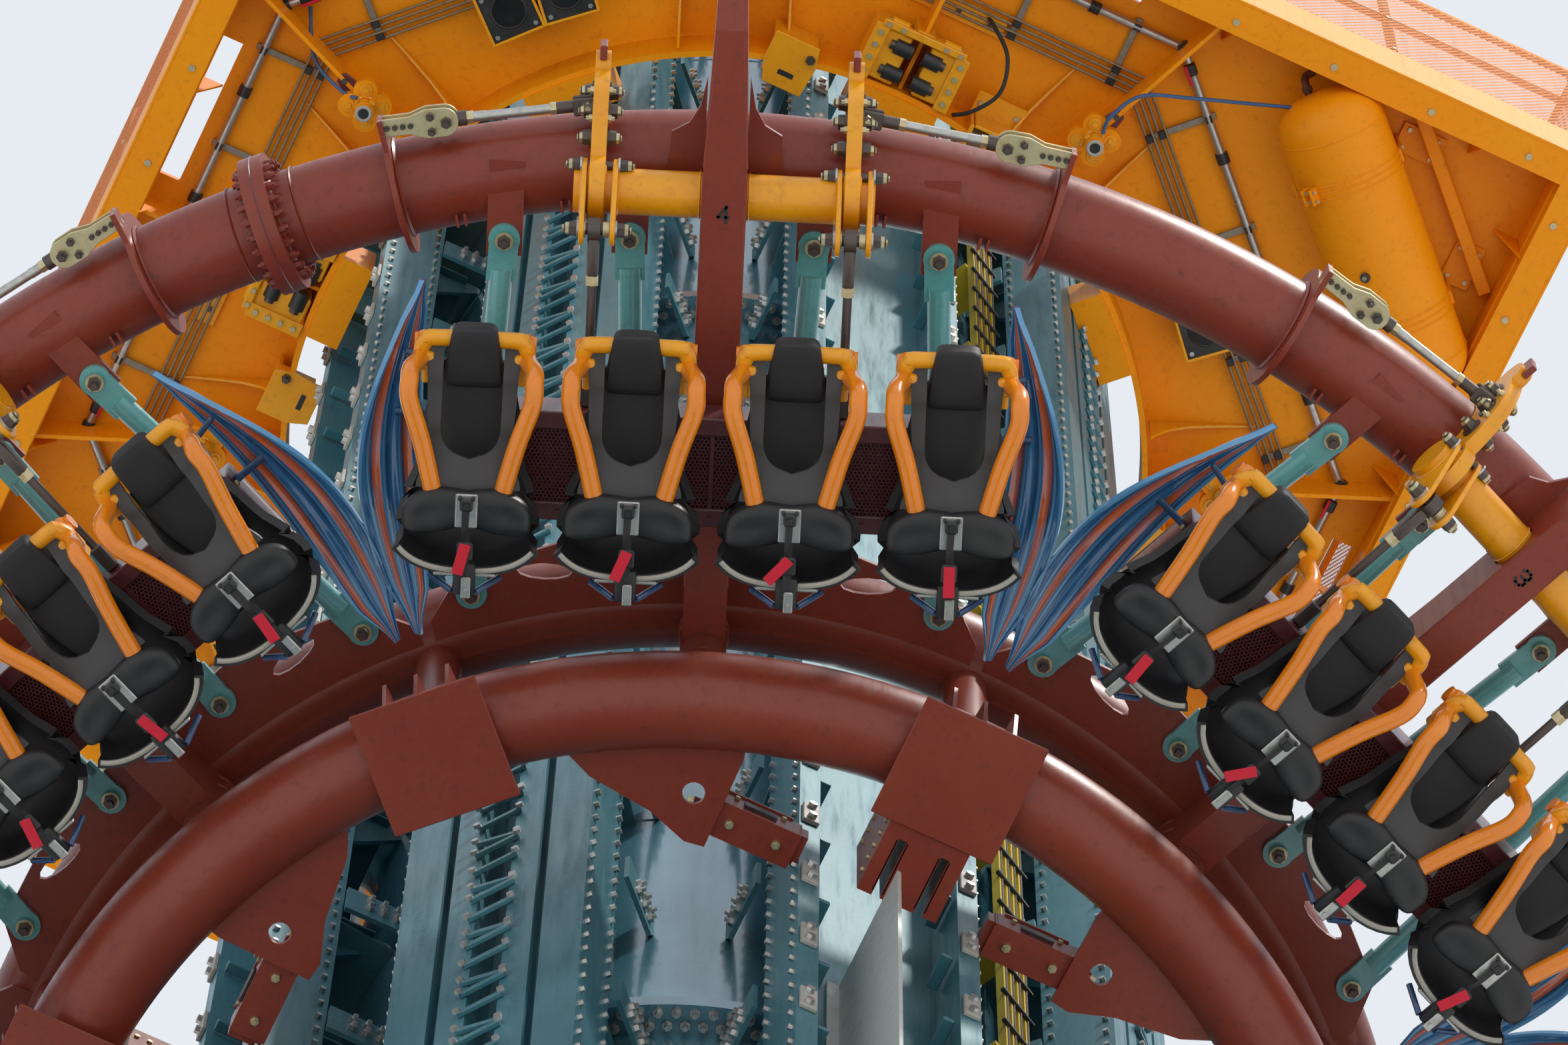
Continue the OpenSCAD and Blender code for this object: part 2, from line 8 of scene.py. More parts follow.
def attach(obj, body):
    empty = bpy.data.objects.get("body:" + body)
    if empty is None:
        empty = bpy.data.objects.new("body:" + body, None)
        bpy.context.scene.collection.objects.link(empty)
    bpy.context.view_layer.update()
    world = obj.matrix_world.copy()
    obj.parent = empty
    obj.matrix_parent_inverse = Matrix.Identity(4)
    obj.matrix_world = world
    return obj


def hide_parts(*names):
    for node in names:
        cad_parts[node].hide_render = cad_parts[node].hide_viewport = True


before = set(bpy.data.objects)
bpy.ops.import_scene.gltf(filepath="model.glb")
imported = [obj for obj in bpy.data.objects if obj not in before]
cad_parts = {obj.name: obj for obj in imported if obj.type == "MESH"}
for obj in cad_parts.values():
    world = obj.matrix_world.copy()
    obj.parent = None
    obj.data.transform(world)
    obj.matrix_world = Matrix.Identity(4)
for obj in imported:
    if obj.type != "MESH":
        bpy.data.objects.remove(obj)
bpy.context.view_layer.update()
print("frame loaded")

# Main sizes of the ride, as in the CAD
ride = {
    "ringZ": 11.3, "ringR": 4.6, "tubeR": 0.19, "lowerR": 2.66, "lowerDrop": 0.885,
    "tiltR": 4.55, "tiltDrop": 0.36, "seatPitch": 0.62, "leverT": 0.495, "rows": 8, "rowPitch": 45,
    "shaftR": 1.5, "railFace": 2.02, "railHalf": 0.39, "railDepth": 0.3, "bayHeight": 9.8, "bays": 3,
    "baseT": 0.06, "anchorR": 3.1, "carLift": 10.6, "carHalf": 3.415, "carAz": 22.5, "beamFront": -0.38,
    "collarAz": 16,
}
carZ = ride["ringZ"] + ride["carLift"]
rowNumbers = range(1, ride["rows"] + 1)


# Places and directions

def polar(radius, azimuth, height):
    angle = math.radians(azimuth)
    return Vector((radius * math.sin(angle), -radius * math.cos(angle), height))


def turned(azimuth):
    return Matrix.Rotation(math.radians(azimuth), 4, "Z")


def moved(*offset):
    return Matrix.Translation(offset)


def raised(height):
    return moved(0, 0, height)


def below(*spot):  # at a spot, turned to point down
    return moved(*spot) @ Matrix.Rotation(math.pi, 4, "X")


def turns(count, first=0, height=0):  # equal turns round the tower
    return [raised(height) @ turned(first + 360 / count * k) for k in range(count)]


def lifts(first, step, count):
    return [raised(first + step * k) for k in range(count)]


def rowPlace(number):  # from a row drawn upright, tilt axis at the origin, to its face-down place
    azimuth = (4 - number) * ride["rowPitch"]
    hinge = moved(0, -ride["tiltR"], ride["ringZ"] - ride["tiltDrop"])
    return turned(azimuth) @ hinge @ Matrix.Rotation(math.radians(90), 4, "X")


def facing(point, direction):
    turn = Vector(direction).to_track_quat("Z", "Y")
    return Matrix.Translation(point) @ turn.to_matrix().to_4x4()


def tangentAt(azimuth):
    angle = math.radians(azimuth)
    return Vector((math.cos(angle), math.sin(angle), 0))


def sidePlane(x):  # a flat outline of depth and height, grown along X
    return Matrix(((0, 0, 1, x), (1, 0, 0, 0), (0, 1, 0, 0), (0, 0, 0, 1)))


def arcPoints(x, y, radius, start, end, steps=8):
    angles = [math.radians(start + (end - start) * i / steps) for i in range(steps + 1)]
    return [(x + radius * math.cos(a), y + radius * math.sin(a)) for a in angles]


def smoothPath(points, steps=6):
    knots = [Vector(p) for p in points]
    path = []
    for i in range(len(knots) - 1):
        a = knots[max(i - 1, 0)]
        b = knots[i]
        c = knots[i + 1]
        d = knots[min(i + 2, len(knots) - 1)]
        for k in range(steps):
            t = k / steps
            path.append(0.5 * (2 * b + (c - a) * t + (2 * a - 5 * b + 4 * c - d) * t ** 2
                               + (3 * b - a - 3 * c + d) * t ** 3))
    path.append(knots[-1])
    return path


def blendKeys(keys, t):  # value at t on a list of (t, value) keys, with eased steps
    for (t0, v0), (t1, v1) in zip(keys, keys[1:]):
        if t <= t1:
            s = (t - t0) / (t1 - t0)
            s = s * s * (3 - 2 * s)
            return v0 + (v1 - v0) * s
    return keys[-1][1]


# Mesh tools

def joinInto(bm, part, place=None):
    if place:
        bmesh.ops.transform(part, matrix=place, verts=part.verts)
    held = bpy.data.meshes.new("held")
    part.to_mesh(held)
    part.free()
    bm.from_mesh(held)
    bpy.data.meshes.remove(held)


def paintFaces(faces, slot, smooth=True):
    for face in faces:
        face.material_index = slot
        face.smooth = smooth


def facesOf(verts):
    return {face for vert in verts for face in vert.link_faces}


def edgesOf(verts):
    return {edge for vert in verts for edge in vert.link_edges}


def openEdges(verts):
    return [edge for edge in edgesOf(verts) if edge.is_boundary]


def addBox(bm, size, place, slot=0, bevel=0.0, taper=1.0):
    made = bmesh.ops.create_cube(bm, size=1)
    verts = made["verts"]
    for vert in verts:
        if vert.co.z > 0:
            vert.co.x *= taper
            vert.co.y *= taper
    bmesh.ops.scale(bm, vec=size, verts=verts)
    if bevel:
        steps = 2 if bevel > 0.011 else 1  # small pieces get a plain chamfer, which keeps the model light
        cut = bmesh.ops.bevel(bm, geom=list(edgesOf(verts)), offset=bevel, segments=steps, profile=0.5,
                              affect="EDGES", material=-1)
        verts = list({vert for face in cut["faces"] for vert in face.verts} | {v for v in verts if v.is_valid})
    paintFaces(facesOf(verts), slot)
    if not isinstance(place, Matrix):
        place = Matrix.Translation(place)
    bmesh.ops.transform(bm, matrix=place, verts=verts)
    return verts


def addRod(bm, start, end, radius, sides=16, slot=0, endRadius=None):
    start = Vector(start)
    end = Vector(end)
    made = bmesh.ops.create_cone(bm, cap_ends=True, segments=sides, radius1=radius,
                                 radius2=radius if endRadius is None else endRadius, depth=(end - start).length,
                                 matrix=facing((start + end) / 2, end - start))
    paintFaces(facesOf(made["verts"]), slot)
    return made["verts"]


def addBolt(bm, place, radius, height, slot=0, stud=0.0):
    head = bmesh.ops.create_cone(bm, cap_ends=True, segments=6, radius1=radius, radius2=radius * 0.94,
                                 depth=height, matrix=place @ raised(height / 2))
    paintFaces(facesOf(head["verts"]), slot, False)
    if stud:
        tip = bmesh.ops.create_cone(bm, cap_ends=True, segments=5, radius1=radius * 0.58, radius2=radius * 0.52,
                                    depth=stud, matrix=place @ raised(height + stud / 2))
        paintFaces(facesOf(tip["verts"]), slot)


def addSheet(bm, columns, lines, shape, slot=0, weld=0.0, span=(1, 1)):
    made = bmesh.ops.create_grid(bm, x_segments=columns, y_segments=lines, size=0.5)
    verts = made["verts"]
    uvLayer = bm.loops.layers.uv.verify()
    faces = facesOf(verts)
    for face in faces:
        for loop in face.loops:
            loop[uvLayer].uv = ((loop.vert.co.x + 0.5) * span[0], (loop.vert.co.y + 0.5) * span[1])
    for vert in verts:
        vert.co = shape(vert.co.x + 0.5, vert.co.y + 0.5)
    paintFaces(faces, slot)
    if weld:
        bmesh.ops.remove_doubles(bm, verts=verts, dist=weld)
    return [vert for vert in verts if vert.is_valid]


def pathFrames(path):
    frames = []
    side = None
    for i, point in enumerate(path):
        ahead = path[min(i + 1, len(path) - 1)] - path[max(i - 1, 0)]
        ahead.normalize()
        if side is None:
            side = ahead.orthogonal().normalized()
        side = (side - ahead * side.dot(ahead)).normalized()
        frames.append((point, side, ahead.cross(side)))
    return frames


def addTube(bm, path, radius, sides=12, slot=0, flat=1.0):
    frames = pathFrames([Vector(p) for p in path])
    last = len(frames) - 1

    def skin(u, v):
        point, side, up = frames[round(u * last)]
        size = radius(u) if callable(radius) else radius
        angle = 2 * math.pi * v
        return point + side * (size * math.cos(angle)) + up * (size * flat * math.sin(angle))

    verts = addSheet(bm, last, sides, skin, slot, 1e-5)
    rims = openEdges(verts)
    if rims:
        caps = bmesh.ops.holes_fill(bm, edges=rims, sides=0)
        paintFaces(caps["faces"], slot)
    return verts


def addPlate(bm, outline, thickness, place, slot=0, bevel=0.0):  # outline in the place's XY plane
    part = bmesh.new()
    face = part.faces.new([part.verts.new((x, y, 0)) for x, y in outline])
    grown = bmesh.ops.extrude_face_region(part, geom=[face])
    top = [item for item in grown["geom"] if isinstance(item, bmesh.types.BMVert)]
    bmesh.ops.translate(part, vec=(0, 0, thickness), verts=top)
    if bevel:
        rims = [e for e in part.edges if abs(e.verts[0].co.z - e.verts[1].co.z) < thickness / 2]
        bmesh.ops.bevel(part, geom=rims, offset=bevel, segments=1, profile=0.5, affect="EDGES", material=-1)
    paintFaces(part.faces, slot)
    joinInto(bm, part, place)


def addHoop(bm, place, radius, tube, slot=0, around=40, sides=4):
    def skin(u, v):
        turn = 2 * math.pi * u
        reach = radius + tube * math.cos(2 * math.pi * v)
        return place @ Vector((reach * math.cos(turn), reach * math.sin(turn), tube * math.sin(2 * math.pi * v)))

    return addSheet(bm, around, sides, skin, slot, 1e-5)


def addBoltRing(bm, place, reach, count, radius, height, slot=0, stud=0.0):
    for i in range(count):
        turn = Matrix.Rotation(2 * math.pi * (i + 0.5) / count, 4, "Z")
        addBolt(bm, place @ turn @ moved(reach, 0, 0), radius, height, slot, stud)


def copiesOf(part, places):  # one bmesh with the part at each place
    held = bpy.data.meshes.new("held")
    part.to_mesh(held)
    part.free()
    whole = bmesh.new()
    for place in places:
        copy = held.copy()
        copy.transform(place)
        whole.from_mesh(copy)
        bpy.data.meshes.remove(copy)
    bpy.data.meshes.remove(held)
    return whole


def linkObject(name, data):
    made = bpy.data.objects.new(name, data)
    bpy.context.scene.collection.objects.link(made)
    return made


def makePiece(name, bm, body, materials, replaces=(), sharp=35):
    bmesh.ops.recalc_face_normals(bm, faces=bm.faces)
    mesh = bpy.data.meshes.new(name)
    bm.to_mesh(mesh)
    bm.free()
    for material in materials:
        mesh.materials.append(paints[material])
    if mesh.uv_layers:
        mesh.uv_layers[0].name = "sheetMap"
    mesh.set_sharp_from_angle(angle=math.radians(sharp))
    piece = linkObject(name, mesh)
    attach(piece, body)
    if replaces:
        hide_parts(*replaces)
    return piece


# Shader node groups

colour = "NodeSocketColor"
number = "NodeSocketFloat"
skinSockets = [("Color", colour), ("Roughness", number), ("Normal", "NodeSocketVector")]


def startGroup(name, inputs, outputs=skinSockets):
    group = bpy.data.node_groups.new(name, "ShaderNodeTree")
    for label, kind, value in inputs:
        socket = group.interface.new_socket(label, in_out="INPUT", socket_type=kind)
        socket.default_value = value
    for label, kind in outputs:
        group.interface.new_socket(label, in_out="OUTPUT", socket_type=kind)
    return group, group.nodes.new("NodeGroupInput").outputs, group.nodes.new("NodeGroupOutput")


def addNode(tree, kind, inputs=None, **settings):  # each input is a socket to link or a plain value
    node = tree.nodes.new(kind)
    for key, value in settings.items():
        setattr(node, key, value)
    for key, value in (inputs or {}).items():
        if hasattr(value, "is_linked"):
            tree.links.new(value, node.inputs[key])
        else:
            node.inputs[key].default_value = value
    return node


def mixColours(tree, factor, first, second):
    node = addNode(tree, "ShaderNodeMix", data_type="RGBA")
    for key, value in ((0, factor), (6, first), (7, second)):
        if hasattr(value, "is_linked"):
            tree.links.new(value, node.inputs[key])
        else:
            node.inputs[key].default_value = value
    return node.outputs[2]


def reckoner(tree):  # shorthand for a Math node whose values are sockets or numbers
    def reckon(operation, *values):
        return addNode(tree, "ShaderNodeMath", dict(enumerate(values)), operation=operation).outputs[0]

    return reckon


def objectPlace(group):
    return addNode(group, "ShaderNodeTexCoord").outputs["Object"]


def stretched(group, place, scale):
    return addNode(group, "ShaderNodeMapping", {"Scale": scale, "Vector": place}).outputs["Vector"]


def noise(group, place, scale, detail, roughness=0.5):
    return addNode(group, "ShaderNodeTexNoise", {"Scale": scale, "Detail": detail, "Roughness": roughness,
                                                 "Vector": place}).outputs["Fac"]


def spread(group, value, low, high, toLow=0.0, toHigh=1.0):
    return addNode(group, "ShaderNodeMapRange", {"From Min": low, "From Max": high, "To Min": toLow,
                                                 "To Max": toHigh, "Value": value}).outputs["Result"]


def endGroup(group, result, skin, roughness, height, distance, strength):
    bump = addNode(group, "ShaderNodeBump", {"Distance": distance, "Strength": strength, "Height": height})
    for key, source in (("Color", skin), ("Roughness", roughness), ("Normal", bump.outputs["Normal"])):
        group.links.new(source, result.inputs[key])
    return group


def makeWeatheredPaint():
    group, given, result = startGroup(
        "weatheredPaint",
        [("Paint", colour, (0.5, 0.5, 0.5, 1)), ("Faded", colour, (0.6, 0.6, 0.6, 1)),
         ("Dirt", colour, (0.1, 0.08, 0.07, 1)), ("Fade", number, 0.5), ("Dirt Amount", number, 0.35),
         ("Patch Scale", number, 0.8), ("Gloss", number, 0.3), ("Dull", number, 0.5), ("Orange Peel", number, 0.1)])
    place = objectPlace(group)
    patches = spread(group, noise(group, place, given["Patch Scale"], 5, 0.6), 0.35, 0.7)
    reckon = reckoner(group)
    base = mixColours(group, reckon("MULTIPLY", patches, given["Fade"]), given["Paint"], given["Faded"])
    streaks = noise(group, stretched(group, place, (9, 9, 0.7)), 2.2, 6, 0.65)
    grime = reckon("MULTIPLY", streaks, noise(group, place, 38, 4, 0.7))
    final = mixColours(group, spread(group, grime, 0.27, 0.45, 0, given["Dirt Amount"]), base, given["Dirt"])
    rough = spread(group, streaks, 0.3, 0.7, given["Gloss"], given["Dull"])
    return endGroup(group, result, final, rough, noise(group, place, 160, 2), 0.002, given["Orange Peel"])


def makeMouldedGrain():
    group, given, result = startGroup(
        "mouldedGrain",
        [("Plastic", colour, (0.03, 0.03, 0.03, 1)), ("Scuffed", colour, (0.08, 0.08, 0.08, 1)),
         ("Scuff", number, 0.4), ("Grain Scale", number, 200), ("Grain", number, 0.3), ("Gloss", number, 0.3),
         ("Dull", number, 0.5)])
    place = objectPlace(group)
    scuffs = noise(group, place, 7, 8, 0.7)
    mask = spread(group, scuffs, 0.45, 0.75, 0, given["Scuff"])
    final = mixColours(group, mask, given["Plastic"], given["Scuffed"])
    rough = spread(group, scuffs, 0.35, 0.65, given["Gloss"], given["Dull"])
    grain = addNode(group, "ShaderNodeTexVoronoi", {"Vector": place, "Scale": given["Grain Scale"]})
    return endGroup(group, result, final, rough, grain.outputs["Distance"], 0.0008, given["Grain"])


def makeBrushedMetal():
    group, given, result = startGroup(
        "brushedMetal",
        [("Metal", colour, (0.6, 0.6, 0.58, 1)), ("Tarnish", colour, (0.3, 0.26, 0.2, 1)),
         ("Tarnish Amount", number, 0.5), ("Gloss", number, 0.25), ("Dull", number, 0.5)])
    place = objectPlace(group)
    spots = noise(group, place, 24, 6, 0.65)
    mask = spread(group, spots, 0.42, 0.7, 0, given["Tarnish Amount"])
    final = mixColours(group, mask, given["Metal"], given["Tarnish"])
    rough = spread(group, spots, 0.3, 0.7, given["Gloss"], given["Dull"])
    lines = noise(group, stretched(group, place, (300, 300, 14)), 1, 2)
    return endGroup(group, result, final, rough, lines, 0.0006, 0.3)


def sheetPlace(group):  # across and along a piece's own UV map
    place = addNode(group, "ShaderNodeUVMap", uv_map="sheetMap").outputs["UV"]
    return addNode(group, "ShaderNodeSeparateXYZ", {0: place}).outputs


def makeStrandBands():  # coloured strands that run aslant along a blade
    group, given, result = startGroup(
        "strandBands",
        [("Deep", colour, (0.02, 0.08, 0.24, 1)), ("Light", colour, (0.06, 0.2, 0.42, 1)),
         ("Stripe", colour, (0.5, 0.08, 0.03, 1)), ("Strands", number, 4), ("Twist", number, 0.22),
         ("Gloss", number, 0.1), ("Dull", number, 0.25)])
    parts = sheetPlace(group)
    reckon = reckoner(group)
    flow = reckon("ADD", parts["X"], reckon("MULTIPLY", parts["Y"], given["Twist"]))
    flow = reckon("MULTIPLY", flow, given["Strands"])
    phase = reckon("FRACT", flow)
    strand = reckon("MODULO", reckon("FLOOR", flow), 2)
    wide = reckon("MULTIPLY", reckon("GREATER_THAN", phase, 0.14), reckon("LESS_THAN", phase, 0.62))
    red = reckon("MULTIPLY", wide, reckon("GREATER_THAN", strand, 0.5))
    edge = reckon("GREATER_THAN", reckon("ABSOLUTE", reckon("SUBTRACT", parts["X"], 0.5)), 0.455)
    pale = reckon("MAXIMUM", reckon("GREATER_THAN", phase, 0.80), edge)
    base = mixColours(group, red, given["Deep"], given["Stripe"])
    bands = mixColours(group, pale, base, given["Light"])
    worn = noise(group, objectPlace(group), 6, 6, 0.65)
    faded = mixColours(group, spread(group, worn, 0.4, 0.75, 0, 0.35), bands, given["Light"])
    rough = spread(group, worn, 0.35, 0.7, given["Gloss"], given["Dull"])
    return endGroup(group, result, faded, rough, worn, 0.001, 0.1)


def makePunchedHoles():  # mask of round holes in staggered rows, on a UV map in metres
    group, given, result = startGroup(
        "punchedHoles", [("Pitch", number, 0.012), ("Hole", number, 0.33)], [("Sheet", number)])
    parts = sheetPlace(group)
    reckon = reckoner(group)
    rowStep = 0.866  # of the pitch, so that each hole has six neighbours at one pitch
    across = reckon("DIVIDE", parts["X"], given["Pitch"])
    along = reckon("DIVIDE", reckon("DIVIDE", parts["Y"], given["Pitch"]), rowStep)
    odd = reckon("MODULO", reckon("FLOOR", along), 2)
    shifted = reckon("ADD", across, reckon("MULTIPLY", odd, 0.5))
    dx = reckon("SUBTRACT", reckon("FRACT", shifted), 0.5)
    dy = reckon("MULTIPLY", reckon("SUBTRACT", reckon("FRACT", along), 0.5), rowStep)
    reach = reckon("SQRT", reckon("ADD", reckon("MULTIPLY", dx, dx), reckon("MULTIPLY", dy, dy)))
    group.links.new(reckon("GREATER_THAN", reach, given["Hole"]), result.inputs["Sheet"])
    return group


effects = {"paint": makeWeatheredPaint(), "plastic": makeMouldedGrain(), "metal": makeBrushedMetal(),
           "holes": makePunchedHoles(), "strands": makeStrandBands()}


def makeMaterial(name, effect, look, shader=None, holes=None):
    material = bpy.data.materials.new(name)
    material.use_nodes = True
    tree = material.node_tree
    surface = tree.nodes["Principled BSDF"]
    skin = addNode(tree, "ShaderNodeGroup", node_tree=effects[effect])
    for key, value in look.items():
        skin.inputs[key].default_value = (*value, 1) if isinstance(value, tuple) else value
    for source, target in (("Color", "Base Color"), ("Roughness", "Roughness"), ("Normal", "Normal")):
        tree.links.new(skin.outputs[source], surface.inputs[target])
    for key, value in (shader or {}).items():
        surface.inputs[key].default_value = value
    if holes:
        mask = addNode(tree, "ShaderNodeGroup", node_tree=effects["holes"])
        for key, value in holes.items():
            mask.inputs[key].default_value = value
        tree.links.new(mask.outputs["Sheet"], surface.inputs["Alpha"])
    return material


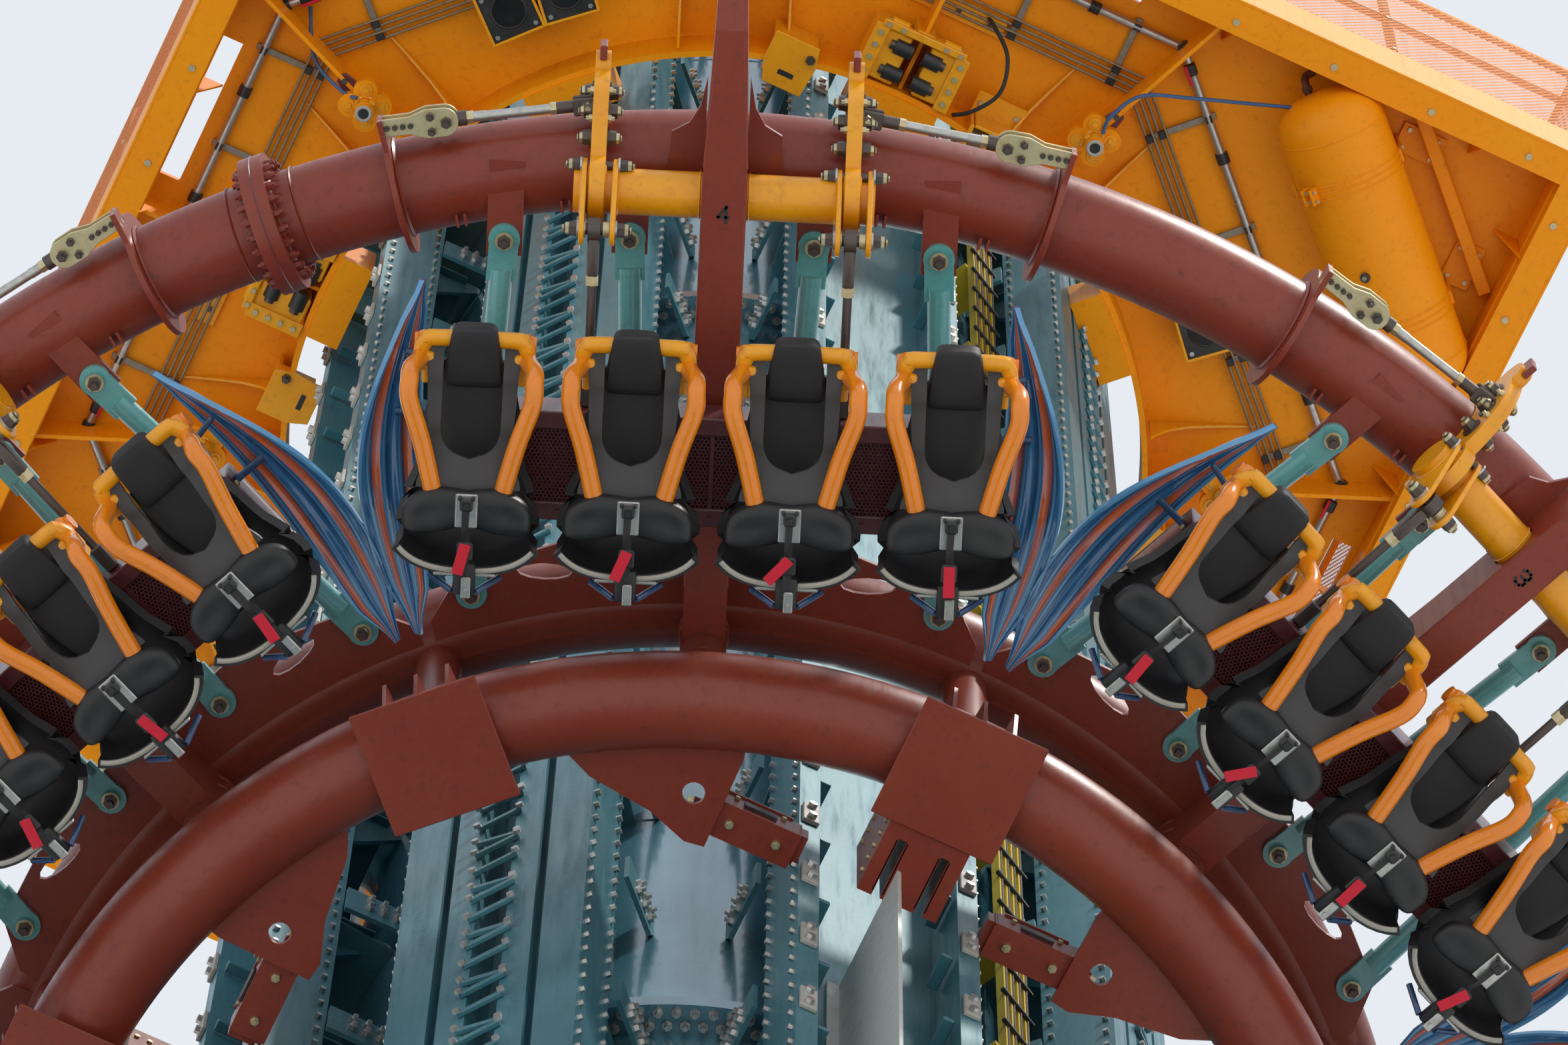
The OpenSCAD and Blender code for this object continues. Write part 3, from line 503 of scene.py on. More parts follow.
glossCoat = {"Coat Weight": 0.5, "Coat Roughness": 0.12}
paints = {
    "shaft": makeMaterial("shaftTeal", "paint", {"Paint": (0.035, 0.145, 0.2), "Faded": (0.17, 0.35, 0.43),
        "Dirt": (0.03, 0.07, 0.09), "Fade": 0.75, "Patch Scale": 0.55, "Gloss": 0.12, "Dull": 0.3,
        "Orange Peel": 0.08}, {"Metallic": 0.25, "Coat Weight": 0.6, "Coat Roughness": 0.08}),
    "rails": makeMaterial("columnTeal", "paint", {"Paint": (0.04, 0.16, 0.2), "Faded": (0.12, 0.29, 0.34),
        "Dirt": (0.03, 0.06, 0.07), "Fade": 0.6, "Dirt Amount": 0.5, "Patch Scale": 0.9, "Gloss": 0.25},
        {"Metallic": 0.15}),
    "rust": makeMaterial("ringRustRed", "paint", {"Paint": (0.22, 0.03, 0.015), "Faded": (0.28, 0.055, 0.03),
        "Dirt": (0.06, 0.012, 0.008), "Fade": 0.55, "Dirt Amount": 0.45, "Patch Scale": 1.4, "Gloss": 0.28,
        "Dull": 0.46, "Orange Peel": 0.12},
        {"Specular IOR Level": 0.4, "Coat Weight": 0.16, "Coat Roughness": 0.22}),
    "maroon": makeMaterial("beamMaroon", "paint", {"Paint": (0.115, 0.018, 0.022), "Faded": (0.16, 0.035, 0.04),
        "Dirt": (0.04, 0.01, 0.01), "Fade": 0.4, "Dirt Amount": 0.4, "Patch Scale": 2.0, "Orange Peel": 0.12},
        glossCoat),
    "amber": makeMaterial("carAmber", "paint", {"Paint": (0.9, 0.285, 0.001), "Faded": (0.94, 0.37, 0.0015),
        "Dirt": (0.34, 0.095, 0.002), "Fade": 0.6, "Dirt Amount": 0.3, "Gloss": 0.36, "Dull": 0.55},
        {"Specular IOR Level": 0.22, "Coat Weight": 0.06, "Coat Roughness": 0.2}),
    "yellow": makeMaterial("bracketYellow", "paint", {"Paint": (0.84, 0.33, 0.002), "Faded": (0.88, 0.42, 0.004),
        "Dirt": (0.3, 0.11, 0.003), "Patch Scale": 2.5, "Gloss": 0.24, "Dull": 0.44},
        {"Coat Weight": 0.25, "Coat Roughness": 0.15}),
    "orange": makeMaterial("restraintOrange", "paint", {"Paint": (0.8, 0.215, 0.002), "Faded": (0.86, 0.27, 0.004),
        "Dirt": (0.3, 0.075, 0.006), "Dirt Amount": 0.25, "Patch Scale": 5.0, "Gloss": 0.16, "Dull": 0.32,
        "Orange Peel": 0.06}, glossCoat),
    "strut": makeMaterial("strutTeal", "paint", {"Paint": (0.1, 0.36, 0.36), "Faded": (0.22, 0.52, 0.53),
        "Dirt": (0.05, 0.12, 0.12), "Dirt Amount": 0.4, "Patch Scale": 2.0, "Gloss": 0.18, "Dull": 0.36,
        "Orange Peel": 0.08}, glossCoat),
    "skirt": makeMaterial("skirtAmber", "paint", {"Paint": (0.66, 0.2, 0.006), "Faded": (0.72, 0.27, 0.02),
        "Dirt": (0.3, 0.1, 0.01), "Dirt Amount": 0.3, "Gloss": 0.5, "Dull": 0.7}, {"Specular IOR Level": 0.12}),
    "bars": makeMaterial("conductorYellow", "plastic", {"Plastic": (0.72, 0.52, 0.03), "Scuffed": (0.4, 0.27, 0.03),
        "Scuff": 0.5, "Grain": 0.2}),
    "steel": makeMaterial("greySteel", "metal", {"Metal": (0.55, 0.55, 0.53), "Tarnish": (0.25, 0.21, 0.17),
        "Tarnish Amount": 0.4}, {"Metallic": 0.9}),
    "zinc": makeMaterial("zincYellow", "metal", {"Metal": (0.62, 0.55, 0.34), "Tarnish": (0.34, 0.27, 0.13),
        "Tarnish Amount": 0.45, "Gloss": 0.28}, {"Metallic": 0.75}),
    "darkSteel": makeMaterial("darkRodSteel", "metal", {"Metal": (0.1, 0.085, 0.08), "Tarnish": (0.16, 0.1, 0.07),
        "Gloss": 0.28}, {"Metallic": 0.6}),
    "brass": makeMaterial("brassLining", "metal", {"Metal": (0.62, 0.38, 0.16), "Tarnish": (0.3, 0.17, 0.07)},
        {"Metallic": 0.8}),
    "black": makeMaterial("seatBlack", "plastic", {"Plastic": (0.013, 0.013, 0.015),
        "Scuffed": (0.035, 0.034, 0.034), "Scuff": 0.5, "Grain Scale": 420, "Gloss": 0.34, "Dull": 0.55}),
    "foam": makeMaterial("padFoam", "plastic", {"Plastic": (0.016, 0.016, 0.018), "Scuffed": (0.03, 0.029, 0.029),
        "Grain Scale": 520, "Grain": 0.5, "Gloss": 0.5, "Dull": 0.7}),
    "bib": makeMaterial("bibGrey", "plastic", {"Plastic": (0.042, 0.041, 0.043), "Scuffed": (0.07, 0.068, 0.068),
        "Scuff": 0.45, "Grain Scale": 360, "Grain": 0.35, "Gloss": 0.45, "Dull": 0.65}),
    "piping": makeMaterial("paleEdge", "plastic", {"Plastic": (0.42, 0.4, 0.35), "Scuffed": (0.25, 0.23, 0.2),
        "Scuff": 0.5, "Grain Scale": 300, "Grain": 0.2, "Gloss": 0.4, "Dull": 0.6}),
    "belt": makeMaterial("beltBlack", "plastic", {"Plastic": (0.02, 0.02, 0.02), "Scuffed": (0.05, 0.05, 0.05),
        "Scuff": 0.3, "Grain Scale": 700, "Grain": 0.6, "Gloss": 0.55, "Dull": 0.75}),
    "tag": makeMaterial("tagRed", "plastic", {"Plastic": (0.62, 0.006, 0.03), "Scuffed": (0.5, 0.01, 0.03),
        "Scuff": 0.3, "Grain Scale": 500, "Gloss": 0.5, "Dull": 0.7}),
    "navy": makeMaterial("damperNavy", "paint", {"Paint": (0.02, 0.06, 0.15), "Faded": (0.04, 0.1, 0.22),
        "Dirt": (0.02, 0.02, 0.03), "Fade": 0.4, "Dirt Amount": 0.3, "Patch Scale": 4.0, "Gloss": 0.2, "Dull": 0.4,
        "Orange Peel": 0.05}, glossCoat),
    "blade": makeMaterial("strandedBlade", "strands", {"Deep": (0.022, 0.11, 0.28), "Light": (0.1, 0.3, 0.54),
        "Stripe": (0.58, 0.12, 0.035), "Dull": 0.24}, {"Coat Weight": 0.7, "Coat Roughness": 0.06}),
    "lamp": makeMaterial("lampBlack", "plastic", {"Plastic": (0.02, 0.02, 0.02), "Scuffed": (0.05, 0.05, 0.05),
        "Grain": 0.2}),
    "finSteel": makeMaterial("finSteel", "metal", {"Metal": (0.62, 0.66, 0.63), "Tarnish": (0.45, 0.4, 0.38),
        "Gloss": 0.3}, {"Metallic": 0.3}),
    "galvanised": makeMaterial("galvanised", "metal", {"Metal": (0.3, 0.27, 0.22), "Tarnish": (0.16, 0.12, 0.08),
        "Gloss": 0.35, "Dull": 0.6}, {"Metallic": 0.5}),
    "thinPipe": makeMaterial("thinPipe", "metal", {"Metal": (0.3, 0.22, 0.13), "Tarnish": (0.2, 0.11, 0.05),
        "Gloss": 0.35, "Dull": 0.6}, {"Metallic": 0.4}),
    "pipeBrown": makeMaterial("pipeBrown", "metal", {"Metal": (0.13, 0.055, 0.03), "Tarnish": (0.08, 0.035, 0.02),
        "Gloss": 0.35, "Dull": 0.6}, {"Metallic": 0.4}),
    "tyre": makeMaterial("wheelTyre", "plastic", {"Plastic": (0.16, 0.115, 0.05), "Scuffed": (0.1, 0.07, 0.035),
        "Scuff": 0.6, "Grain Scale": 300, "Gloss": 0.5, "Dull": 0.7}),
    "glassDark": makeMaterial("lampDisc", "plastic", {"Plastic": (0.012, 0.012, 0.012),
        "Scuffed": (0.03, 0.03, 0.03), "Scuff": 0.3, "Grain Scale": 100, "Grain": 0.05, "Gloss": 0.1,
        "Dull": 0.25}),
    "hoseBlue": makeMaterial("hoseBlue", "plastic", {"Plastic": (0.035, 0.1, 0.24), "Scuffed": (0.07, 0.15, 0.3),
        "Grain Scale": 300, "Grain": 0.15}),
    "beamMesh": makeMaterial("beamMesh", "paint", {"Paint": (0.125, 0.02, 0.025), "Faded": (0.17, 0.04, 0.045),
        "Dirt": (0.04, 0.01, 0.01), "Fade": 0.4, "Dirt Amount": 0.3, "Patch Scale": 2.0, "Gloss": 0.35,
        "Orange Peel": 0.05}, None, {"Pitch": 0.016, "Hole": 0.34}),
    "skirtMesh": makeMaterial("skirtMesh", "paint", {"Paint": (0.66, 0.21, 0.05), "Faded": (0.74, 0.3, 0.12),
        "Dirt": (0.3, 0.09, 0.03), "Dirt Amount": 0.25, "Gloss": 0.5, "Dull": 0.7, "Orange Peel": 0.05},
        {"Specular IOR Level": 0.1}, {"Pitch": 0.034, "Hole": 0.3}),
}
print("materials ready")


# The frame's own nodes get their paint

nodePaint = {
    "base": "rails", "tower_shaft": "shaft", "guide_rails": "rails", "brake_fins": "finSteel",
    "conductor_bars": "bars", "tower_head": "shaft", "car_deck": "amber", "car_skirt": "skirt",
    "air_tanks": "amber", "car_couplers": "amber", "car_guides": "amber", "floodlights": "lamp",
    "upper_ring": "rust", "spider_frame": "rust", "lower_ring": "rust", "brake_shoes": "rust",
    "struts": "strut", "tilt_brackets": "yellow",
}
for name, paint in nodePaint.items():
    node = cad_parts[name]
    node.data.materials.clear()
    node.data.materials.append(paints[paint])

print("frame painted")


# Seats, drawn once a row in the upright frame

seatLook = {
    "front": ride["beamFront"] - 0.003,
    # depth in front of the beam and height of the shell's inner face, from shoulders to lip
    "spine": [(-0.055, -0.58), (-0.06, -0.72), (-0.05, -0.87), (-0.045, -1.02), (-0.06, -1.14), (-0.105, -1.235),
              (-0.20, -1.295), (-0.31, -1.315), (-0.405, -1.305)],
    "halfWidth": [(0.0, 0.150), (0.3, 0.195), (0.5, 0.258), (0.65, 0.275), (0.85, 0.270), (1.0, 0.285)],
    "rise": [(0.0, 0.02), (0.3, 0.05), (0.5, 0.11), (0.66, 0.125), (0.8, 0.095), (1.0, 0.085)],
    "wall": 0.035,
    "barHalf": 0.198,
}


def shellPoint(u, v):  # u across from -1 to 1, v from shoulders to lip
    spine = [Vector((0, *knot)) for knot in seatLook["spine"]]
    t = v * (len(spine) - 1)
    k = min(int(t), len(spine) - 2)
    centre = spine[k].lerp(spine[k + 1], t - k) + Vector((0, seatLook["front"], 0))
    along = (spine[min(k + 2, len(spine) - 1)] - spine[max(k - 1, 0)]).normalized()
    outward = Vector((0, along.z, -along.y))
    bend = abs(u) ** 2.6
    across = Vector((blendKeys(seatLook["halfWidth"], v) * (u - 0.10 * u * bend), 0, 0))
    return centre + across + outward * (blendKeys(seatLook["rise"], v) * bend)


def roundedPad(bm, centre, size, slot, power=4.0, cuts=7, shape=None):
    part = bmesh.new()
    bmesh.ops.create_cube(part, size=2)
    bmesh.ops.subdivide_edges(part, edges=part.edges[:], cuts=cuts, use_grid_fill=True)
    for vert in part.verts:
        p = vert.co
        length = (abs(p.x) ** power + abs(p.y) ** power + abs(p.z) ** power) ** (1 / power)
        vert.co = Vector((p.x * size[0], p.y * size[1], p.z * size[2])) / (2 * length)
        if shape:
            vert.co = shape(vert.co)
        vert.co += Vector(centre)
    paintFaces(part.faces, slot)
    joinInto(bm, part)


def addSeat(row, pads, x):
    bm = bmesh.new()
    front = seatLook["front"]
    wall = seatLook["wall"]

    def inner(u, v):
        return shellPoint(2 * u - 1, v)

    def outer(u, v):
        ahead = inner(u, min(v + 0.02, 1)) - inner(u, max(v - 0.02, 0))
        across = inner(min(u + 0.02, 1), v) - inner(max(u - 0.02, 0), v)
        return inner(u, v) + across.cross(ahead).normalized() * wall

    shell = addSheet(bm, 14, 20, inner, 0)
    back = addSheet(bm, 14, 20, outer, 0)
    paintFaces(bmesh.ops.bridge_loops(bm, edges=openEdges(shell + back))["faces"], 0)
    lip = [Vector(shellPoint(k / 12, 1.0)) + Vector((0, -0.004, -0.014)) for k in range(-12, 13)]
    addTube(bm, lip, 0.011, 6, 1)
    # back pad and headrest
    roundedPad(pads, (x, front - 0.078, -0.80), (0.265, 0.10, 0.42), 0, 5,
               shape=lambda p: Vector((p.x * (1 + 0.6 * (p.z / 0.21) * (0.1 if p.z > 0 else 0.5)), p.y, p.z)))
    roundedPad(pads, (x, front - 0.115, -0.54), (0.245, 0.13, 0.25), 0, 7,
               shape=lambda p: Vector((p.x * (0.86 - 1.15 * p.z), p.y - 0.02 * (p.z / 0.125), p.z)))
    # carrier from the beam to the headrest, and the yellow bar with its turned ends
    addBox(bm, (0.19, 0.05, 0.50), (0, front - 0.030, -0.72), 0, 0.01)
    half = seatLook["barHalf"]
    bar = [(half, front - 0.10, -0.60), (half + 0.004, front - 0.115, -0.53),
           (half - 0.012, front - 0.125, -0.485), (half - 0.05, front - 0.128, -0.474)]
    bar = [(-x, y, z) for x, y, z in bar] + bar[::-1]
    addTube(bm, smoothPath(bar, 4), 0.036, 12, 2, 0.92)
    for s in (-1, 1):
        addBox(bm, (0.034, 0.13, 0.17), (s * (half - 0.012), front - 0.065, -0.575), 2, 0.012)
        addBox(bm, (0.05, 0.07, 0.07), (s * (half - 0.02), front - 0.13, -0.56), 2, 0.014)
    # crotch post with its silver tab, and two small dampers beside it
    addBox(bm, (0.085, 0.05, 0.13), (0, front - 0.42, -1.345), 0, 0.014)
    addBox(bm, (0.036, 0.012, 0.085), (0.008, front - 0.451, -1.375), 3, 0.004)
    addBolt(bm, facing((0.008, front - 0.457, -1.39), (0, -1, 0)), 0.010, 0.008, 3)
    addBox(bm, (0.24, 0.03, 0.014), (0, front - 0.40, -1.335), 3, 0.004)
    for s in (-1, 1):
        addRod(bm, (s * 0.135, front - 0.33, -1.365), (s * 0.045, front - 0.42, -1.40), 0.013, 10, 4)
    joinInto(row, bm, moved(x, 0, 0))


def makePads(name, bm, body, material, number):  # firm moulded foam, so quite full
    bmesh.ops.transform(bm, matrix=rowPlace(number), verts=bm.verts)
    makePiece(f"{name}{number}", bm, f"{body}_{number}", (material,))


def makeSeats(number):
    bm = bmesh.new()
    pads = bmesh.new()
    for k in range(4):
        addSeat(bm, pads, (k - 1.5) * ride["seatPitch"])
    bmesh.ops.transform(bm, matrix=rowPlace(number), verts=bm.verts)
    makePiece(f"bucketSeats{number}", bm, f"row_{number}", ("black", "piping", "yellow", "steel", "navy"),
              [f"seats_{number}"])
    makePads("backPads", pads, "row", "foam", number)


# Restraints: orange tubes, grey bib, lap pad with buckle plate, belt and red tag

restraintLook = {"reach": 0.236, "hingeY": -0.42, "hingeZ": -0.505, "elbowY": -0.745, "elbowZ": -0.555,
                 "padY": -0.765, "padZ": -1.070, "tube": 0.036}


def bibPoint(u, v):  # u across a strap from its inner to its outer edge, v from shoulders to lap pad
    z = -0.50 - 0.50 * v
    y = blendKeys([(0.0, -0.50), (0.25, -0.575), (0.6, -0.66), (1.0, -0.745)], v)
    outer = blendKeys([(0.0, 0.182), (0.35, 0.172), (0.72, 0.158), (1.0, 0.20)], v)
    round01 = min(max((v - 0.50) / 0.27, 0), 1)
    inner = 0.116 * max(0, 1 - round01 ** 3.2) ** (1 / 2.2)
    x = inner + (outer - inner) * u
    return Vector((x, y - 0.02 * (1 - x / 0.17), z))


def addBib(bm):
    for s in (-1, 1):
        for wall in (0.0, 0.016):
            addSheet(bm, 4, 32, lambda u, v: bibPoint(u, v) * Vector((s, 1, 1)) + Vector((0, -wall, 0)), 1)
    verts = [v for v in bm.verts if any(f.material_index == 1 for f in v.link_faces)]
    paintFaces(bmesh.ops.bridge_loops(bm, edges=openEdges(verts), use_pairs=True)["faces"], 1)


def addRestraint(bm, pads, x, tagTurn):
    part = bmesh.new()
    look = restraintLook
    addBib(part)
    for s in (-1, 1):
        hinge = Vector((s * 0.19, look["hingeY"], look["hingeZ"] + 0.01))
        path = smoothPath([hinge, (s * 0.205, look["hingeY"] - 0.10, look["elbowZ"] + 0.005),
                           (s * look["reach"], look["elbowY"] + 0.09, look["elbowZ"]),
                           (s * (look["reach"] + 0.003), look["elbowY"] + 0.012, look["elbowZ"] - 0.025),
                           (s * look["reach"], look["elbowY"] - 0.010, look["elbowZ"] - 0.10),
                           (s * 0.183, look["padY"] + 0.008, -0.82), (s * 0.128, look["padY"], -1.035)], 5)
        addTube(part, path, look["tube"], 14, 0)
        addRod(part, (s * 0.235, look["hingeY"], look["hingeZ"] - 0.01),
               (s * 0.185, look["hingeY"], look["hingeZ"] - 0.01), 0.034, 20, 0)
    # kidney lap pad: two lobes joined by a waist, with a thumb dish in each lobe

    def kidney(p):
        lobe = 1 - 0.22 * math.exp(-(p.x / 0.075) ** 2)
        dish = 0.012 * math.exp(-((abs(p.x) - 0.155) / 0.05) ** 2 - (p.z / 0.04) ** 2) if p.y < 0 else 0
        return Vector((p.x, p.y + dish, p.z * lobe - 0.045 * (p.x / 0.25) ** 2))

    roundedPad(pads, (x, look["padY"] - 0.01, look["padZ"]), (0.50, 0.115, 0.185), 0, 3.2, 9, kidney)
    plateY = look["padY"] - 0.069
    addBox(part, (0.085, 0.012, 0.135), (0, plateY - 0.002, look["padZ"] + 0.005), 2, 0.004)
    addBox(part, (0.05, 0.03, 0.05), (0, plateY - 0.022, look["padZ"] + 0.035), 3, 0.008)
    for s in (-1, 1):
        addBox(part, (0.014, 0.02, 0.016), (s * 0.026, plateY - 0.02, look["padZ"] + 0.06), 3, 0.004)
    addBolt(part, facing((0, plateY - 0.037, look["padZ"] + 0.035), (0, -1, 0)), 0.014, 0.006, 3)
    beltPath = smoothPath([(0, plateY - 0.020, look["padZ"] + 0.03), (0, plateY - 0.016, look["padZ"] - 0.06),
                           (0, plateY + 0.01, look["padZ"] - 0.12), (0, plateY - 0.005, look["padZ"] - 0.20),
                           (0, plateY + 0.01, look["padZ"] - 0.265)], 5)
    addTube(part, beltPath, 0.022, 6, 4, 0.12)
    addBox(part, (0.062, 0.022, 0.075), (0, plateY - 0.010, look["padZ"] - 0.155), 3, 0.008)
    tagPlace = (moved(0, plateY - 0.026, look["padZ"] - 0.13)
                @ Matrix.Rotation(math.radians(tagTurn), 4, "Y") @ raised(-0.055))
    addBox(part, (0.044, 0.006, 0.125), tagPlace, 5, 0.002)
    joinInto(bm, part, moved(x, 0, 0))


def makeRestraints(number):
    bm = bmesh.new()
    pads = bmesh.new()
    dice = random.Random(40 + number)
    for k in range(4):
        addRestraint(bm, pads, (k - 1.5) * ride["seatPitch"], dice.uniform(-12, 50))
    bmesh.ops.transform(bm, matrix=rowPlace(number), verts=bm.verts)
    makePiece(f"harness{number}", bm, f"restraint_{number}",
              ("orange", "bib", "steel", "lamp", "belt", "tag"), [f"restraints_{number}"])
    makePads("lapPads", pads, "restraint", "black", number)


# Twisted side blades: a leaf of raised strands that run from tip to tip

bladeLook = {"start": 1.15, "bulge": 0.11, "lean": 0.04, "drop": -0.25, "top": -0.32, "length": 1.43,
             "width": 0.265, "wall": 0.018, "ridge": 0.009, "strands": 4, "twist": 0.22}


def bladePoint(side, u, s, lift):
    look = bladeLook
    turn = math.radians(68 - 92 * s)
    wave = min(max(0.08 + 0.84 * s, 0), 1)
    width = look["width"] * (0.06 + 0.94 * math.sin(math.pi * wave) ** 0.8 * min(1, s * 9 + 0.12, (1 - s) * 7 + 0.12))
    across = width / 2 * u
    ridge = look["ridge"] * math.cos(2 * math.pi * look["strands"] * ((u + 1) / 2 + look["twist"] * s))
    edge = 0.012 * max(0, abs(u) - 0.8) / 0.2
    out = lift + (ridge + edge) * (1 if lift > 0 else 0.6) * math.sin(math.pi * wave)
    x = look["start"] + look["bulge"] * math.sin(math.pi * s) - look["lean"] * s * s
    return Vector((side * (x + across * math.cos(turn) - out * math.sin(turn)),
                   look["drop"] - across * math.sin(turn) - out * math.cos(turn) - 0.04 * s,
                   look["top"] - look["length"] * s))


def makeBlades(number):
    bm = bmesh.new()
    for side in (-1, 1):
        sheets = []
        for lift in (0.009, -0.009):
            sheets += addSheet(bm, 32, 30, lambda u, v: bladePoint(side, 2 * u - 1, v, lift), 0)
        bmesh.ops.bridge_loops(bm, edges=openEdges(sheets))
        addRod(bm, (side * 1.1, -0.27, -0.85), (side * 1.235, -0.275, -0.85), 0.016, 10, 1)
        addRod(bm, (side * 1.09, -0.30, -0.62), (side * 1.20, -0.285, -0.60), 0.013, 10, 1)
    bmesh.ops.transform(bm, matrix=rowPlace(number), verts=bm.verts)
    makePiece(f"sideBlades{number}", bm, f"row_{number}", ("blade", "navy"),
              [f"fins_{number}"], sharp=60)


for i in rowNumbers:
    makeSeats(i)
    makeRestraints(i)
    makeBlades(i)
print("rows dressed")


# Row frames: tilt shaft, double levers, push rods and a box beam with punched panels

rowLook = {
    "shaftRadius": 0.09, "shaftHalf": 0.585, "plate": 0.02, "plateOff": 0.06, "pin": (-0.24, -0.09),
    "rodFoot": (-0.285, -0.795), "beamFront": -0.38, "beamBack": -0.19, "beamLow": -1.23, "beamTop": -0.79,
    "beamHalf": 1.1, "lip": 0.072, "wall": 0.02,
}


def addMeshPanel(bm, corner, across, up, slot):
    corner, across, up = Vector(corner), Vector(across), Vector(up)
    addSheet(bm, 1, 1, lambda u, v: corner + across * u + up * v, slot, span=(across.length, up.length))


def addRowFrame(bm):
    look = rowLook
    pinY, pinZ = look["pin"]
    footY, footZ = look["rodFoot"]
    addRod(bm, (-look["shaftHalf"], 0, 0), (look["shaftHalf"], 0, 0), look["shaftRadius"], 48, 0)
    outline = arcPoints(0, 0, 0.124, -75, 118, 14) + arcPoints(pinY, pinZ, 0.062, 118, 285, 10)
    for s in (-1, 1):
        x = s * ride["leverT"]
        addHoop(bm, facing((x - s * 0.4, 0, 0), (1, 0, 0)), look["shaftRadius"] + 0.001, 0.004, 0)
        for q in (-1, 1):
            plateX = x + q * look["plateOff"]
            addPlate(bm, outline, look["plate"], sidePlane(plateX), 0, 0.003)
            addHoop(bm, facing((plateX + (0.021 if q > 0 else -0.001), 0, 0), (1, 0, 0)), 0.092, 0.006, 0)
            outer = plateX + (look["plate"] if q > 0 else 0)
            for y, z, size in ((pinY, pinZ, 0.030), (-0.012, 0.104, 0.026)):
                place = facing((outer, y, z), (q, 0, 0))
                addRod(bm, place @ Vector((0, 0, 0)), place @ Vector((0, 0, 0.008)), size * 1.25, 20, 3)
                addBolt(bm, place @ raised(0.008), size, 0.03, 1, 0.02)
                addBolt(bm, place @ raised(0.038), size * 0.86, 0.014, 2, 0.012)
        addRod(bm, (x - 0.085, pinY, pinZ), (x + 0.085, pinY, pinZ), 0.022, 20, 1)
        addRod(bm, (x - 0.075, -0.012, 0.104), (x + 0.075, -0.012, 0.104), 0.017, 16, 1)
        for q in (-1, 1):
            addRod(bm, (x + q * 0.034, pinY, pinZ), (x + q * 0.058, pinY, pinZ), 0.032, 20, 2)
        # push rod with an eye at its head, a threaded neck and a fork at its foot
        head = Vector((x, pinY, pinZ))
        foot = Vector((x, footY, footZ))
        along = (foot - head).normalized()
        addRod(bm, head + Vector((-0.024, 0, 0)), head + Vector((0.024, 0, 0)), 0.048, 24, 1)
        addBox(bm, (0.046, 0.062, 0.17), facing(head + along * 0.10, along), 1, 0.012)
        addRod(bm, head + along * 0.18, head + along * 0.22, 0.028, 6, 2)
        addRod(bm, head + along * 0.20, foot - along * 0.02, 0.018, 20, 1)
        addBox(bm, (0.05, 0.05, 0.12), facing(foot - along * 0.06, along), 1, 0.01)
    low, top, half = look["beamLow"], look["beamTop"], look["beamHalf"]
    front, back, wall, lip = look["beamFront"], look["beamBack"], look["wall"], look["lip"]
    middle = (front + back) / 2
    depth = back - front
    for z in (low + lip / 2, top - lip / 2):
        addBox(bm, (2 * half, depth, lip), (0, middle, z), 4, 0.005)
    addBox(bm, (2 * half, wall, top - low - 0.02), (0, back - wall / 2, (low + top) / 2), 4)
    for x in (-half + 0.006, half - 0.006):
        addBox(bm, (0.012, depth - 0.004, top - low - 0.01), (x, middle, (low + top) / 2), 4, 0.002)
    for x in (-ride["leverT"], 0, ride["leverT"]):
        addBox(bm, (0.02, depth - 0.01, top - low - 0.02), (x, middle + 0.004, (low + top) / 2), 4, 0.002)
    xs = [-half + 0.012, -ride["leverT"] - 0.01, -0.01, ride["leverT"] - 0.01, half - 0.012]
    for x0, x1 in zip(xs, xs[1:]):
        addMeshPanel(bm, (x0, front + 0.016, low + lip), (x1 - x0, 0, 0), (0, 0, top - low - 2 * lip), 5)
    for k in range(-7, 8):
        for z in (low + 0.036, top - 0.036):
            addBolt(bm, facing((k * 0.148, front, z), (0, -1, 0)), 0.011, 0.007, 4)
        addBolt(bm, facing((k * 0.148, back, (low + top) / 2 + 0.13), (0, 1, 0)), 0.014, 0.010, 4, 0.008)
    for s in (-1, 1):
        for y, z in ((-0.24, top - 0.06), (-0.33, top - 0.06), (-0.24, low + 0.06), (-0.33, low + 0.06)):
            addBolt(bm, facing((s * half, y, z), (s, 0, 0)), 0.013, 0.009, 2)


def makeRowFrames():
    part = bmesh.new()
    addRowFrame(part)
    for i in rowNumbers:
        makePiece(f"rowBeam{i}", copiesOf(part.copy(), [rowPlace(i)]), f"row_{i}",
                  ("yellow", "darkSteel", "zinc", "steel", "maroon", "beamMesh"),
                  [f"row_frame_{i}"])
    part.free()


# Fittings on the gondola, drawn once at the front row, up from the ring's plane, and repeated round the tower

gondolaLook = {"rodStart": (0.525, -4.83), "rodDrop": -0.12, "rodRadius": 0.019, "flangeReach": 0.232,
               "flangeHalf": 0.048, "flangeBolts": 24, "crescentHalf": 0.03, "armBottom": -0.5003}
rowTurns = turns(ride["rows"], 0, ride["ringZ"])
mirroredTurns = [turn @ Matrix.Diagonal((flip, 1, 1, 1)) for turn in rowTurns for flip in (1, -1)]


def makeRingWelds():
    part = bmesh.new()
    for s in (-1, 1):
        for off in (-0.014, 0.014):
            azimuth = s * ride["collarAz"] + math.degrees(off / ride["ringR"])
            addHoop(part, facing(polar(ride["ringR"], azimuth, 0), tangentAt(azimuth)), ride["tubeR"] + 0.002,
                    0.009, 0, 64)
        for azimuth in (s * 7.9, s * 13.2):
            # small guide eyes under the ring's inner side
            base = polar(ride["ringR"] - 0.13, azimuth, -0.155)
            for q in (-1, 1):
                eye = Matrix.Translation(base + tangentAt(azimuth) * 0.016 * q) @ turned(azimuth)
                addBox(part, (0.012, 0.05, 0.07), eye, 0, 0.003)
    makePiece("ringWelds", copiesOf(part, rowTurns), "gondola", ("rust",))


